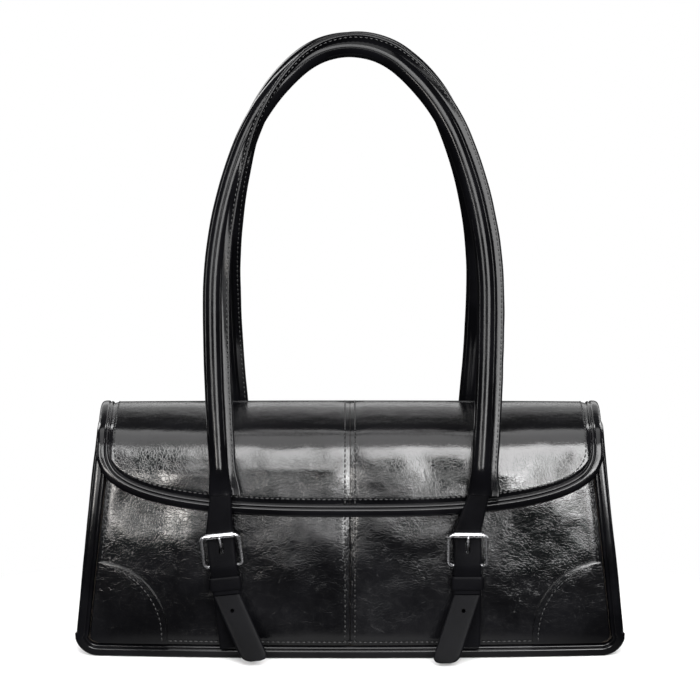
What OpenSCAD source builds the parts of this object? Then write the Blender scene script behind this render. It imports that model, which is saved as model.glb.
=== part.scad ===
/* [Body] */
// Width of the body across its base
base_w = 326; // [300:1:360]
// Width of the body across its mouth
mouth_w = 296; // [270:1:330]
// Depth of the body at its base
base_d = 100; // [90:1:120]
// Depth of the body at its mouth
mouth_d = 74; // [64:1:90]
// Height of the mouth at the back wall
mouth_h = 134; // [128:1:150]
// Height of the front wall under the flap
front_h = 119; // [110:1:122]
// Outer radius of the body's lower corners, seen from the front
body_corner_r = 14; // [13:1:20]
// How far the front and back walls swell at mid height
wall_belly = 4; // [2:0.5:6]
// How far the walls tuck in where they meet the base
base_tuck = 4; // [2:0.5:6]
// Height over which the walls tuck in
tuck_h = 16; // [12:1:24]
// How far the walls bow out across the width at the base
base_bow = 7; // [4:0.5:10]
// How far the walls bow out across the width at the mouth
mouth_bow = 4; // [2:0.5:6]
// How far the end gussets swell
gusset_swell = 2; // [1:0.5:4]
// Thickness of the padded leather walls
wall = 2.4; // [1.8:0.1:3]
// Gap left between layers that are sewn together
seam_gap = 0.3; // [0.2:0.05:0.4]
// Width of the bound seams along the body's edges
binding_w = 8; // [6:0.5:10]
// Thickness of the bound seams
binding_t = 4.2; // [3:0.1:5]

/* [Corner patches] */
// Width of a corner patch along the base
patch_w = 50; // [35:1:60]
// Height of a corner patch up the side
patch_h = 58; // [45:1:70]
// Thickness of the corner patches
patch_t = 1.2; // [0.8:0.1:1.6]

/* [Inside] */
// Thickness of the lining
lining_t = 0.8; // [0.6:0.1:1.2]
// Thickness of the base leather
base_t = 2.4; // [2:0.1:3]
// Thickness of the stiffening board
board_t = 2; // [1.5:0.1:3]
// Depth of the leather facing inside the mouth
facing_h = 24; // [18:1:30]
// Thickness of the facing
facing_t = 1; // [0.8:0.1:1.4]

/* [Flap] */
// Height of the flap's lowest edge above the ground
flap_low_h = 86; // [84:1:96]
// Height at which the flap's sides turn into its lower edge
flap_turn_h = 126; // [120:1:128]
// How far the top of the flap swells over the mouth
flap_crown = 3; // [1:0.5:5]
// Height of the rounding between the flap's top and front
flap_round_h = 20; // [14:1:24]
// Depth of the rounding between the flap's top and front
flap_round_d = 20; // [14:1:24]
// Thickness of the flap's leather
flap_t = 2.2; // [1.6:0.1:2.6]
// Thickness of the flap's lining
flap_lining_t = 1; // [0.8:0.1:1.2]
// Thickness of the flap's bound edge
flap_binding_t = 4.2; // [3.8:0.1:5]
// Height of the band that sews the flap to the back
back_band_h = 16; // [12:1:18]

/* [Magnetic closure] */
// Radius of the two magnets
magnet_r = 8; // [7:0.5:9]
// Thickness of each magnet
magnet_t = 1.2; // [1:0.1:1.4]
// Gap between the magnets, and between a magnet and what it is set on
magnet_gap = 0.4; // [0.3:0.05:0.5]
// Thickness of the washer behind the front magnet
washer_t = 0.6; // [0.4:0.1:0.7]

/* [Handles] */
// Radius of the rolled handles
handle_r = 5.8; // [5:0.1:6.5]
// Thickness of the leather rolled round the cord
handle_wrap_t = 1.2; // [1:0.1:1.5]
// Width of the stitched seam along each handle
handle_seam_w = 4.2; // [3:0.1:5]
// Thickness of that seam
handle_seam_t = 2.4; // [2:0.1:3]
// Half width of the front handle at its widest
front_reach = 79.5; // [75:0.5:85]
// Half width of the rear handle at its widest
rear_reach = 76; // [72:0.5:82]
// Half width of the front handle at its feet
front_foot_x = 75; // [72:0.5:78]
// Half width of the rear handle at its feet
rear_foot_x = 71; // [69:0.5:75]
// Height of the arch above the handles' widest place
arch_rise = 147.5; // [130:0.5:160]
// Length of the front handle's legs below the arch
front_leg = 112; // [100:1:125]
// Length of the rear handle's legs below the arch
rear_leg = 95; // [90:1:115]
// Lean of the front handle towards the back
front_lean = 9.2; // [8:0.1:10]
// Lean of the rear handle towards the front
rear_lean = 9.5; // [8:0.1:10]

/* [Straps and buckles] */
// Distance of each strap's foot from the middle
strap_x = 68.5; // [60:0.5:72]
// Sideways lean of the left strap
left_lean = 6; // [0:0.5:8]
// Sideways lean of the right strap
right_lean = 0; // [-2:0.5:4]
// Width of the straps
strap_w = 16; // [14:0.5:18]
// Thickness of one layer of the doubled base strap
strap_layer = 1.5; // [1.2:0.1:1.8]
// Thickness of the strap that runs through the buckle
tongue_t = 2.4; // [2:0.1:2.8]
// Distance of the base strap's back from the middle plane
strap_y = 50; // [49.8:0.1:52]
// Height of the buckle's heel bar
heel_h = 58; // [54:1:62]
// Radius of the buckle's wire
wire_r = 1; // [0.9:0.05:1.2]
// Outer width of the buckle
buckle_w = 24; // [22:0.5:26]
// Length of the buckle from heel bar to roller
buckle_l = 20.4; // [19:0.1:22]
// Outward tilt of the buckle
buckle_tilt = 17.4; // [15:0.1:20]
// Running clearance of roller, prong and strap fold round the wire
running = 0.05; // [0.03:0.01:0.08]
// Wall of the roller tube
roller_wall = 0.65; // [0.5:0.05:0.8]
// Radius of the prong
prong_r = 0.9; // [0.8:0.05:1]
// Height of the keeper loop
keeper_h = 8; // [6:0.5:9]
// Wall of the keeper loop
keeper_t = 1.2; // [1:0.1:1.4]
// Clearance inside the keeper loop
keeper_gap = 0.3; // [0.3:0.05:0.4]
// Length of the loose strap tails
tail_l = 40; // [34:1:41]
// Sideways shift of the tails' tips towards the middle
tail_shift = 13; // [8:1:16]
// Forward angle at which the tails stand off
tail_flare = 14; // [10:1:18]

/* [Hidden] */
leather = "#17171a";
satin = "#232327";
cloth = "#4a4038";
metal = "#c9ccd0";
card = "#8d7f68";
rope = "#d8d2c4";

// Half depth of the body's middle section at a height
function depth_at(z) = let (s = z / mouth_h)
    base_d / 2 + (mouth_d - base_d) / 2 * s + wall_belly * sin(180 * min(s, 1))
    - base_tuck * pow(max(0, 1 - z / tuck_h), 2);
// Half width of the body at a height
function width_at(z) = base_w / 2 + (mouth_w - base_w) / 2 * z / mouth_h;
function bow_at(z) = base_bow + (mouth_bow - base_bow) * z / mouth_h;
// Distance of the front or back wall's face from the middle plane
function wall_y(x, z) = depth_at(z) - bow_at(z) * pow(x / width_at(z), 2);

// Closed slab between two grids of points with the same number of rows and columns
module slab(top, under) {
    n = len(top);
    m = len(top[0]);
    function at(side, i, j) = (side * n + i) * m + j;
    function quad(a, b, c, d) = [[a, b, c], [a, c, d]];
    skin = [for (i = [0 : n - 2], j = [0 : m - 2])
        each quad(at(0, i, j), at(0, i + 1, j), at(0, i + 1, j + 1), at(0, i, j + 1))];
    back = [for (i = [0 : n - 2], j = [0 : m - 2])
        each quad(at(1, i, j), at(1, i, j + 1), at(1, i + 1, j + 1), at(1, i + 1, j))];
    sides = [for (i = [0 : n - 2]) each concat(
        quad(at(0, i, 0), at(1, i, 0), at(1, i + 1, 0), at(0, i + 1, 0)),
        quad(at(0, i, m - 1), at(0, i + 1, m - 1), at(1, i + 1, m - 1), at(1, i, m - 1)))];
    ends = [for (j = [0 : m - 2]) each concat(
        quad(at(0, 0, j), at(0, 0, j + 1), at(1, 0, j + 1), at(1, 0, j)),
        quad(at(0, n - 1, j), at(1, n - 1, j), at(1, n - 1, j + 1), at(0, n - 1, j + 1)))];
    points = concat([for (row = top) each row], [for (row = under) each row]);
    polyhedron(points, concat(skin, back, sides, ends));
}

// Closed tube through rings of points, the ends flat
module loft(rings) {
    n = len(rings);
    m = len(rings[0]);
    around = [for (i = [0 : n - 2], j = [0 : m - 1]) let (k = (j + 1) % m)
        each [[i * m + j, (i + 1) * m + j, (i + 1) * m + k], [i * m + j, (i + 1) * m + k, i * m + k]]];
    first = [for (j = [1 : m - 2]) [0, j, j + 1]];
    last = [for (j = [1 : m - 2]) [(n - 1) * m, (n - 1) * m + j + 1, (n - 1) * m + j]];
    polyhedron([for (ring = rings) each ring], concat(around, first, last));
}

// Hollow tube through outer and inner rings of points
module hollow_loft(outer, inner) {
    n = len(outer);
    m = len(outer[0]);
    function o(i, j) = i * m + j % m;
    function q(i, j) = (n + i) * m + j % m;
    walls = [for (i = [0 : n - 2], j = [0 : m - 1]) each [
        [o(i, j), o(i + 1, j), o(i + 1, j + 1)], [o(i, j), o(i + 1, j + 1), o(i, j + 1)],
        [q(i, j), q(i + 1, j + 1), q(i + 1, j)], [q(i, j), q(i, j + 1), q(i + 1, j + 1)]]];
    rims = [for (j = [0 : m - 1]) each [
        [o(0, j), o(0, j + 1), q(0, j + 1)], [o(0, j), q(0, j + 1), q(0, j)],
        [o(n - 1, j), q(n - 1, j + 1), o(n - 1, j + 1)], [o(n - 1, j), q(n - 1, j), q(n - 1, j + 1)]]];
    polyhedron([for (ring = concat(outer, inner)) each ring], concat(walls, rims));
}

function unit(v) = v / norm(v);
// Rounded strip section laid along a route: w across the surface, t along its normal
function strip_rings(route, normals, w, t) = [for (i = [0 : len(route) - 1])
    let (a = route[max(0, i - 1)], b = route[min(len(route) - 1, i + 1)],
        side = unit(cross(unit(b - a), normals[i])))
    [for (k = [7 : -1 : 0]) let (g = 45 * k + 22.5)
        route[i] + side * w / 2 * sign(cos(g)) * pow(abs(cos(g)), 0.45) / pow(cos(22.5), 0.45)
        + normals[i] * t / 2 * sin(g) / sin(67.5)]];

// Half width of the body at a height, drawn in by an inset, with the round lower corner
function outline_x(z, inset) = width_at(z) - (z >= body_corner_r ? inset
    : body_corner_r - sqrt(max(0, pow(body_corner_r - inset, 2) - pow(body_corner_r - z, 2))));
panel_low = binding_w + seam_gap;
function panel_side(z) = outline_x(z, panel_low);

panel_rows = 10;
panel_cols = 9;
module half_panel(top_z) {
    function spot(i, j, out) =
        let (r = i / panel_rows, z = panel_low + (top_z - panel_low) * pow(r, 1.6),
            x = seam_gap / 2 + (panel_side(z) - seam_gap / 2) * j / panel_cols)
        [x, out - wall_y(x, z), z];
    slab([for (i = [0 : panel_rows]) [for (j = [0 : panel_cols]) spot(i, j, 0)]],
        [for (i = [0 : panel_rows]) [for (j = [0 : panel_cols]) spot(i, j, wall)]]);
}

// Bound seam round the sides and the base edge of a wall
binding_corner = body_corner_r - binding_w / 2;
module wall_binding(top_z) {
    lift = (binding_t - wall) / 2;
    low = binding_w / 2;
    side_z = [for (i = [0 : 6]) top_z - (top_z - low - binding_corner) * i / 6];
    arc = [for (i = [1 : 5]) 90 * i / 6];
    half = concat(
        [for (z = side_z) [width_at(z) - binding_w / 2, z]],
        [for (g = arc) [width_at(low) - binding_w / 2 - binding_corner * (1 - cos(g)),
            low + binding_corner * (1 - sin(g))]],
        [for (i = [0 : 4]) [(width_at(low) - binding_w / 2 - binding_corner) * (1 - i / 5), low]]);
    path = concat(half, [[0, low]], [for (i = [len(half) - 1 : -1 : 0]) [-half[i][0], half[i][1]]]);
    route = [for (p = path) [p[0], lift + wall / 2 - binding_t / 2 - wall_y(p[0], p[1]) + wall / 2, p[1]]];
    loft(strip_rings(route, [for (p = route) [0, -1, 0]], binding_w, binding_t));
}

// Height of the mouth's rim at a place in plan: level at the back, rounded down to the front wall
function rim_z(x, y) = let (turn_y = flap_front_y(min(abs(x), mouth_w / 2), flap_end_z) - flap_round_d,
        g = asin(min(1, max(0, (-y - turn_y) / flap_round_d))))
    max(front_h, flap_end_z + flap_round_h * cos(g) - flap_gap);

// End gusset between the two bound seams, bent round the lower corner to meet the base
module gusset() {
    rows = 7;
    corner_rows = 4;
    cols = 8;
    function edge_y(z) = wall_y(width_at(z), z) - base_inset;
    function spot(i, j, out) =
        let (v = 2 * j / cols - 1, r = body_corner_r, swell = gusset_swell * (1 - v * v),
            g = i >= corner_rows ? 90 : 90 * i / corner_rows,
            y0 = edge_y(r) * v, top = rim_z(width_at(r), y0),
            z = i >= corner_rows ? r + (top - r) * (i - corner_rows) / rows
                : r - (r - out) * cos(g))
        [i >= corner_rows ? width_at(z) + swell - out
            : width_at(z) - r + seam_gap * (1 - sin(g)) + (r - out + swell * sin(g)) * sin(g),
            edge_y(z) * v, z];
    top = [for (i = [0 : rows + corner_rows]) [for (j = [0 : cols]) spot(i, j, 0)]];
    slab(top, [for (i = [0 : rows + corner_rows]) [for (j = [0 : cols]) spot(i, j, wall)]]);
}

// Outline of the body in plan at a height, drawn in by an inset
plan_steps = 8;
function plan(z, inset) =
    let (w = outline_x(z, inset), front = [for (i = [-plan_steps : plan_steps]) let (x = w * i / plan_steps)
        [x, inset - wall_y(x, z)]])
    concat(front, [for (i = [len(front) - 1 : -1 : 0]) [front[i][0], -front[i][1]]]);
// The same outline as points whose height is cut to the rim
function raised(outline, z) = [for (p = outline) [p[0], p[1], z * (z > front_h / 2
    ? 1 + (rim_z(p[0], p[1]) / mouth_h - 1) * (2 * z - front_h) / (2 * mouth_h - front_h) : 1)]];

base_inset = (binding_t + wall) / 2 + seam_gap;
module base_panel() {
    color(leather) linear_extrude(base_t) polygon(plan(0, base_inset));
}
board_z = base_t + seam_gap;
board_inset = base_inset + wall + 1;
module base_board() {
    color(card) translate([0, 0, board_z]) linear_extrude(board_t) polygon(plan(board_z, board_inset));
}

// Closed cup between an outer and an inner stack of outlines, drawn in where the walls tuck in
module cup(levels, inset, t, floor_z) {
    function inset_at(z) = inset + 1.6 * max(0, 1 - z / (2 * tuck_h));
    outer = [for (z = levels) raised(plan(z, inset_at(z)), z)];
    inner = [for (i = [len(levels) - 1 : -1 : 0]) raised(plan(levels[i], inset_at(levels[i]) + t),
        i == 0 ? floor_z : levels[i])];
    loft(concat(outer, inner));
}
lining_low = board_z + board_t + seam_gap;
facing_inset = wall + washer_t + 2 * seam_gap;
module lining() {
    top = mouth_h - facing_h - seam_gap;
    levels = [for (i = [0 : 5]) lining_low + (top - lining_low) * i / 5];
    color(cloth) cup(levels, facing_inset, lining_t, lining_low + lining_t);
}
module mouth_facing() {
    levels = [for (i = [0 : 2]) mouth_h - facing_h * (1 - i / 2)];
    outer = [for (z = levels) raised(plan(z, facing_inset), z)];
    inner = [for (z = levels) raised(plan(z, facing_inset + facing_t), z)];
    color(leather) hollow_loft(outer, inner);
}

// Corner patch over the lower outer corner of a wall
module corner_patch() {
    rows = 7;
    cols = 4;
    low = panel_low + 0.8;
    edge = panel_low + 0.8;
    function inner_x(z) = width_at(z) - edge
        - (patch_w - 5) * pow(1 - pow(min(1, (z - low) / (patch_h - low)), 2), 0.55);
    function spot(i, j, out) =
        let (z = low + (patch_h - low) * sin(90 * i / rows) * 0.995,
            x0 = inner_x(z), x1 = outline_x(z, edge),
            x = x0 + (x1 - x0) * j / cols)
        [x, -out - wall_y(x, z), z];
    slab([for (i = [0 : rows]) [for (j = [0 : cols]) spot(i, j, seam_gap + patch_t)]],
        [for (i = [0 : rows]) [for (j = [0 : cols]) spot(i, j, seam_gap)]]);
}

// The flap's section: q runs 0 to 1 over the top, 1 to 2 round the front edge, 2 to 3 down the front
flap_gap = 0.8;
flap_top = mouth_h + flap_gap;
function flap_back(x) = wall_y(x, mouth_h) + seam_gap + flap_t;
flap_end_z = flap_top - flap_round_h;
flap_stand = 2 * magnet_t + 3 * magnet_gap;
function flap_front_y(x, z) = wall_y(x, z) + flap_stand;
function flap_at(x, q, out) =
    let (turn_y = flap_front_y(x, flap_end_z) - flap_round_d)
    q <= 1 ? let (y = flap_back(x) + (-turn_y - flap_back(x)) * q, s = 2 * q - 1)
        [x, y, flap_top + out + flap_crown * (1 - s * s)]
    : q <= 2 ? let (g = 90 * (q - 1))
        [x, -turn_y - (flap_round_d + out) * sin(g), flap_end_z + (flap_round_h + out) * cos(g)]
    : let (z = flap_end_z + (flap_low_h - flap_end_z) * (q - 2))
        [x, -flap_front_y(x, z) - out, z];
// Section place of a height on the front of the flap
function flap_q(z) = z > flap_end_z ? 1 + acos((z - flap_end_z) / flap_round_h) / 90
    : 2 + (flap_end_z - z) / (flap_end_z - flap_low_h);
flap_power = 2.8;
flap_half_w = mouth_w / 2 + 0.5;
flap_back_w = mouth_w / 2 + 3;
function flap_side(q) = flap_half_w + (flap_back_w - flap_half_w) * max(0, 1 - q);
// Lower edge of the flap, drawn in by an inset, for a turn g from 0 at the middle to 90 at the side
function flap_edge_x(g, inset) = (flap_half_w - inset) * pow(sin(g), 2 / flap_power);
function flap_edge_z(g, inset) =
    flap_turn_h - (flap_turn_h - flap_low_h - inset) * pow(cos(g), 2 / flap_power);
flap_rows = 12;
flap_cols = 11;
// Sheet of the flap between two columns, counted from the middle, which may be left apart by a gap
module flap_sheet(first, last, apart, inset, low, t) {
    function spot(i, j, out) =
        let (g = 90 * abs(j) / flap_cols, q = flap_q(flap_edge_z(g, inset)) * i / flap_rows,
            share = flap_edge_x(g, inset) / flap_edge_x(90, inset),
            x = apart / 2 + (flap_side(q) - inset - apart / 2) * share)
        flap_at(j < 0 || last == 0 ? -x : x, q, out);
    slab([for (i = [0 : flap_rows]) [for (j = [first : last]) spot(flap_rows - i, j, low + t)]],
        [for (i = [0 : flap_rows]) [for (j = [first : last]) spot(flap_rows - i, j, low)]]);
}
module half_flap(first, last) {
    color(leather) flap_sheet(first, last, seam_gap, flap_inset, flap_leather_low, flap_t);
}
flap_leather_low = flap_lining_t + 0.2;
flap_inset = binding_w + seam_gap + 0.3;
module flap_lining() {
    color(cloth) flap_sheet(-flap_cols, flap_cols, 0, flap_inset, 0, flap_lining_t);
}
module flap_binding() {
    inset = binding_w / 2;
    turn_q = flap_q(flap_turn_h);
    half = concat(
        [for (i = [0 : 7]) let (q = turn_q * i / 8) [flap_side(q) - inset, q]],
        [for (i = [0 : 9]) let (g = 90 - 9 * i)
            [flap_edge_x(g, inset), flap_q(flap_edge_z(g, inset))]]);
    path = concat(half, [[0, flap_q(flap_low_h + inset)]],
        [for (i = [len(half) - 1 : -1 : 0]) [-half[i][0], half[i][1]]]);
    mid = flap_binding_t / 2;
    route = [for (p = path) flap_at(p[0], p[1], mid)];
    normals = [for (p = path) unit(flap_at(p[0], p[1], mid + 1) - flap_at(p[0], p[1], mid))];
    color(leather) loft(strip_rings(route, normals, binding_w, flap_binding_t));
}
// Sewn band that carries the flap on the back
module flap_back_band() {
    cols = 16;
    function spot(i, j, out) =
        let (z = mouth_h - back_band_h * (1 - i), x = (2 * j / cols - 1) * (mouth_w / 2 - binding_w - 1))
        [x, wall_y(x, z) + seam_gap + out, z];
    color(leather) slab([for (i = [0, 1]) [for (j = [0 : cols]) spot(i, j, 0)]],
        [for (i = [0, 1]) [for (j = [0 : cols]) spot(i, j, flap_t)]]);
}

// Magnets that hold the flap to the front wall
magnet_z = flap_low_h + 16;
magnet_lean = atan((wall_y(0, magnet_z - 5) - wall_y(0, magnet_z + 5)) / 10);
module magnet(out, t) {
    color(metal) translate([0, -wall_y(0, magnet_z), magnet_z]) rotate([90 - magnet_lean, 0, 0])
        translate([0, 0, out]) cylinder(h = t, r = magnet_r, $fn = 64);
}

// Handle arch: three arcs of growing radius a side, then the leg
crown_r = 45;
crown_a = 40;
shoulder_a = 68;
function arch_radii(reach) =
    let (k1 = reach - crown_r * sin(crown_a), k2 = arch_rise - crown_r * (1 - cos(crown_a)),
        a = sin(shoulder_a) - sin(crown_a), b = 1 - sin(shoulder_a),
        c = cos(crown_a) - cos(shoulder_a), d = cos(shoulder_a), det = a * d - b * c)
    [(k1 * d - b * k2) / det, (a * k2 - k1 * c) / det];
// Point of the arch, as distance from the middle and height above its widest place
function arch_at(reach, turn) =
    let (r = arch_radii(reach), c1 = [0, arch_rise - crown_r],
        c2 = c1 - (r[0] - crown_r) * [sin(crown_a), cos(crown_a)],
        c3 = c2 - (r[1] - r[0]) * [sin(shoulder_a), cos(shoulder_a)],
        c = turn <= crown_a ? c1 : turn <= shoulder_a ? c2 : c3,
        radius = turn <= crown_a ? crown_r : turn <= shoulder_a ? r[0] : r[1])
    c + radius * [sin(turn), cos(turn)];
leg_steps = 7;
arch_steps = 13;
// Route of a whole handle in its own plane, from the left foot to the right foot
function handle_route(reach, foot_x, leg) =
    let (half = concat(
        [for (i = [0 : leg_steps - 1]) let (s = i / leg_steps)
            [foot_x + (reach - foot_x) * sin(90 * s), leg * s]],
        [for (i = [0 : arch_steps]) arch_at(reach, 90 * (1 - i / arch_steps)) + [0, leg]]))
    concat([for (p = half) [-p[0], 0, p[1]]],
        [for (i = [len(half) - 2 : -1 : 0]) [half[i][0], 0, half[i][1]]]);
// Shares of the route between which the stitched seam turns from the inside to the outside
seam_turn = [0.1, 0.7];
// Direction in which the stitched seam points: towards the right on both legs, forward over the top
function handle_frames(route) = [for (i = [0 : len(route) - 1])
    let (a = route[max(0, i - 1)], b = route[min(len(route) - 1, i + 1)], t = unit(b - a),
        inward = unit(cross(t, [0, -1, 0])), s = i / (len(route) - 1),
        g = 90 * (1 - cos(180 * min(1, max(0, (s - seam_turn[0]) / (seam_turn[1] - seam_turn[0]))))))
    [inward * cos(g) + [0, -1, 0] * sin(g), t]];
wrap_sides = 12;
function wrap_ring(p, frame) =
    let (u = frame[0], v = cross(frame[1], u), seam = asin(handle_seam_t / 2 / handle_r) + 4)
    [for (k = [0 : wrap_sides - 1])
        let (g = k == 0 ? seam : k == wrap_sides - 1 ? 360 - seam
            : seam + (360 - 2 * seam) * (k - 1) / (wrap_sides - 3),
            far = k == 0 || k == wrap_sides - 1)
        far ? p + u * (handle_r + handle_seam_w) + v * handle_seam_t / 2 * (k == 0 ? 1 : -1)
            : p + (u * cos(g) + v * sin(g)) * handle_r];
function round_ring(p, frame, r, sides) =
    let (u = frame[0], v = cross(frame[1], u))
    [for (k = [0 : sides - 1]) p + (u * cos(360 * k / sides) + v * sin(360 * k / sides)) * r];
bore_r = handle_r - handle_wrap_t;
module handle_wrap(reach, foot_x, leg) {
    route = handle_route(reach, foot_x, leg);
    frames = handle_frames(route);
    color(leather) hollow_loft(
        [for (i = [0 : len(route) - 1]) wrap_ring(route[i], frames[i])],
        [for (i = [0 : len(route) - 1]) round_ring(route[i], frames[i], bore_r, wrap_sides)]);
}
module handle_cord(reach, foot_x, leg) {
    route = handle_route(reach, foot_x, leg);
    frames = handle_frames(route);
    color(rope) loft([for (i = [0 : len(route) - 1]) round_ring(route[i], frames[i], bore_r - 0.4, 8)]);
}

// Heights and places of the strap stack
foot_z = binding_w + 0.5;
function side_lean(side) = side < 0 ? -left_lean : right_lean;
heel_y = -strap_y - wire_r - running - strap_layer - 0.1;
roller_r = wire_r + running + roller_wall;
roller_y = heel_y - buckle_l * sin(buckle_tilt);
roller_z = heel_h + buckle_l * cos(buckle_tilt);
tongue_y = -strap_y - 2 * strap_layer - keeper_gap - tongue_t / 2;
tongue_heel_y = heel_y - wire_r - running - strap_layer - keeper_gap - tongue_t / 2;
tongue_roller_y = roller_y + roller_r + keeper_gap + tongue_t / 2;
front_foot_z = roller_z + 23;
front_foot_y = min(tongue_roller_y, -wall_y(front_foot_x, flap_low_h) - flap_stand - flap_binding_t
    - handle_r + 2);
tail_z = heel_h - 17;
keeper_z = tail_z + 3;

// Puts a piece of a strap's stack on one side; children are drawn about x = 0
module on_strap(side) {
    translate([side * strap_x, 0, foot_z]) rotate([0, side_lean(side), 0]) translate([0, 0, -foot_z])
        children();
}
// Solid band of one width whose section follows a line in y and z
module band(line, w, t) {
    n = len(line);
    function off(i) =
        let (a = line[max(0, i - 1)], b = line[min(n - 1, i + 1)], d = unit(b - a))
        [-d[1], d[0]] * t / 2;
    edge = concat([for (i = [0 : n - 1]) line[i] + off(i)], [for (i = [n - 1 : -1 : 0]) line[i] - off(i)]);
    translate([-w / 2, 0, 0]) rotate([90, 0, 90]) linear_extrude(w) polygon(edge);
}
// Doubled strap sewn to the front wall from the base seam up to the line where it bends
module base_strap() {
    translate([-strap_w / 2, -strap_y - 2 * strap_layer, foot_z])
        cube([strap_w, 2 * strap_layer, tail_z - foot_z]);
}
// Free end of the doubled strap, folded round the buckle's heel bar
module buckle_strap() {
    top = heel_h - 3.2;
    low = tail_z + seam_gap;
    fold_r = wire_r + running;
    difference() {
        union() {
            translate([-strap_w / 2, -strap_y - 2 * strap_layer, low])
                cube([strap_w, 2 * strap_layer, top - low]);
            translate([-strap_w / 2, heel_y, heel_h]) rotate([0, 90, 0])
                cylinder(h = strap_w, r = fold_r + strap_layer, $fn = 48);
            translate([-strap_w / 2, -strap_y - 2 * strap_layer - 0.5, top - 1])
                cube([strap_w, strap_layer + 0.5, heel_h - top + 0.5]);
        }
        translate([-strap_w / 2 - 1, heel_y, heel_h]) rotate([0, 90, 0])
            cylinder(h = strap_w + 2, r = fold_r, $fn = 48);
        translate([-prong_r - 0.7, -strap_y - 12, heel_h - 4])
            cube([2 * prong_r + 1.4, 16, 8]);
    }
}
// Turns a buckle part drawn about the heel bar, its length upwards, into its tilted place
module on_heel() {
    translate([0, heel_y, heel_h]) rotate([buckle_tilt, 0, 0]) children();
}
module bar(l, r) {
    translate([-l / 2, 0, 0]) rotate([0, 90, 0]) cylinder(h = l, r = r, $fn = 48);
}
frame_corner = 3.2;
// Length of the round bars that carry the strap fold and the roller
bar_l = strap_w + 0.6;
// Flat outline with round corners, w wide and l long, centred on the buckle's length
module rounded(w, l, r) {
    square([w - 2 * r, l], center = true);
    square([w, l - 2 * r], center = true);
    for (x = [-1, 1], y = [-1, 1]) translate([x * (w / 2 - r), y * (l / 2 - r)]) circle(r = r, $fn = 64);
}
module buckle_frame() {
    difference() {
        translate([0, wire_r, buckle_l / 2]) rotate([90, 0, 0]) linear_extrude(2 * wire_r) difference() {
            rounded(buckle_w, buckle_l + 2 * wire_r, frame_corner + wire_r);
            rounded(buckle_w - 4 * wire_r, buckle_l - 2 * wire_r, frame_corner - wire_r);
        }
        for (top = [0, 1]) translate([-bar_l / 2, -2 * wire_r, top * buckle_l - 2 * wire_r])
            cube([bar_l, 4 * wire_r, 4 * wire_r]);
    }
    for (top = [0, 1]) translate([0, 0, top * buckle_l]) bar(bar_l + 1, wire_r);
}
roller_l = bar_l - 0.4;
module roller() {
    difference() {
        bar(roller_l, roller_r);
        bar(roller_l + 2, wire_r + running);
    }
}
prong_bend = [heel_y - 1.3, heel_h + 9];
prong_to_roller = [roller_y, roller_z] - prong_bend;
prong_off = asin((roller_r + prong_r + 0.15) / norm(prong_to_roller));
prong_angle = atan2(-prong_to_roller[0], prong_to_roller[1]) + prong_off;
prong_tip = prong_bend + (norm(prong_to_roller) * cos(prong_off) + 1) * [-sin(prong_angle), cos(prong_angle)];
module rod(a, b, r) {
    d = b - a;
    translate([0, a[0], a[1]]) rotate([atan2(-d[0], d[1]), 0, 0]) cylinder(h = norm(d), r = r, $fn = 32);
}
prong_end_r = prong_r + 0.04;
module prong() {
    eye_r = wire_r + running + 1.1;
    difference() {
        union() {
            translate([0, heel_y, heel_h]) bar(2 * prong_r, eye_r);
            rod([heel_y - 0.25, heel_h + 1.3], prong_bend, prong_r);
            translate([0, prong_bend[0], prong_bend[1]]) sphere(r = prong_end_r, $fn = 32);
            rod(prong_bend, prong_tip, prong_r);
            translate([0, prong_tip[0], prong_tip[1]]) sphere(r = prong_end_r, $fn = 32);
        }
        translate([0, heel_y, heel_h]) bar(4, wire_r + running);
    }
}
// Strap from the handle, behind the roller, over the heel bar and down through the keeper
tongue_line = [[tongue_y, tail_z + 0.5], [tongue_y, heel_h - 6], [tongue_heel_y, heel_h - 1],
    [tongue_heel_y, heel_h + 4], [tongue_roller_y - 0.3, roller_z - 5], [tongue_roller_y, roller_z],
    [tongue_roller_y + 0.2, roller_z + 5], [front_foot_y, front_foot_z - 1]];
module tongue(side) {
    join_z = roller_z + 5;
    lean = side_lean(side);
    top_x = side * front_foot_x - side * strap_x - (front_foot_z - foot_z) * tan(lean);
    hole_z = prong_bend[1] + (prong_bend[0] - (tongue_heel_y + tongue_roller_y) / 2) / tan(prong_angle);
    difference() {
        intersection() {
            band(tongue_line, 3 * strap_w, tongue_t);
            rotate([90, 0, 0]) linear_extrude(100) polygon([
                [-strap_w / 2, tail_z], [strap_w / 2, tail_z],
                [strap_w / 2, join_z], [top_x + strap_w / 2 - 2, front_foot_z],
                [top_x - strap_w / 2 + 2, front_foot_z], [-strap_w / 2, join_z]]);
        }
        hull() for (s = [-1, 1]) translate([0, 0, hole_z + s * 2.6]) rotate([90, 0, 0])
            cylinder(h = 100, r = prong_r + 0.5, $fn = 32);
    }
}
module keeper() {
    in_w = strap_w + 2 * keeper_gap;
    in_back = -strap_y + keeper_gap;
    in_front = tongue_y - tongue_t / 2 - keeper_gap;
    translate([0, 0, keeper_z]) difference() {
        translate([-in_w / 2 - keeper_t, in_front - keeper_t, 0])
            cube([in_w + 2 * keeper_t, in_back - in_front + 2 * keeper_t, keeper_h]);
        translate([-in_w / 2, in_front, -1]) cube([in_w, in_back - in_front, keeper_h + 2]);
    }
}
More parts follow.
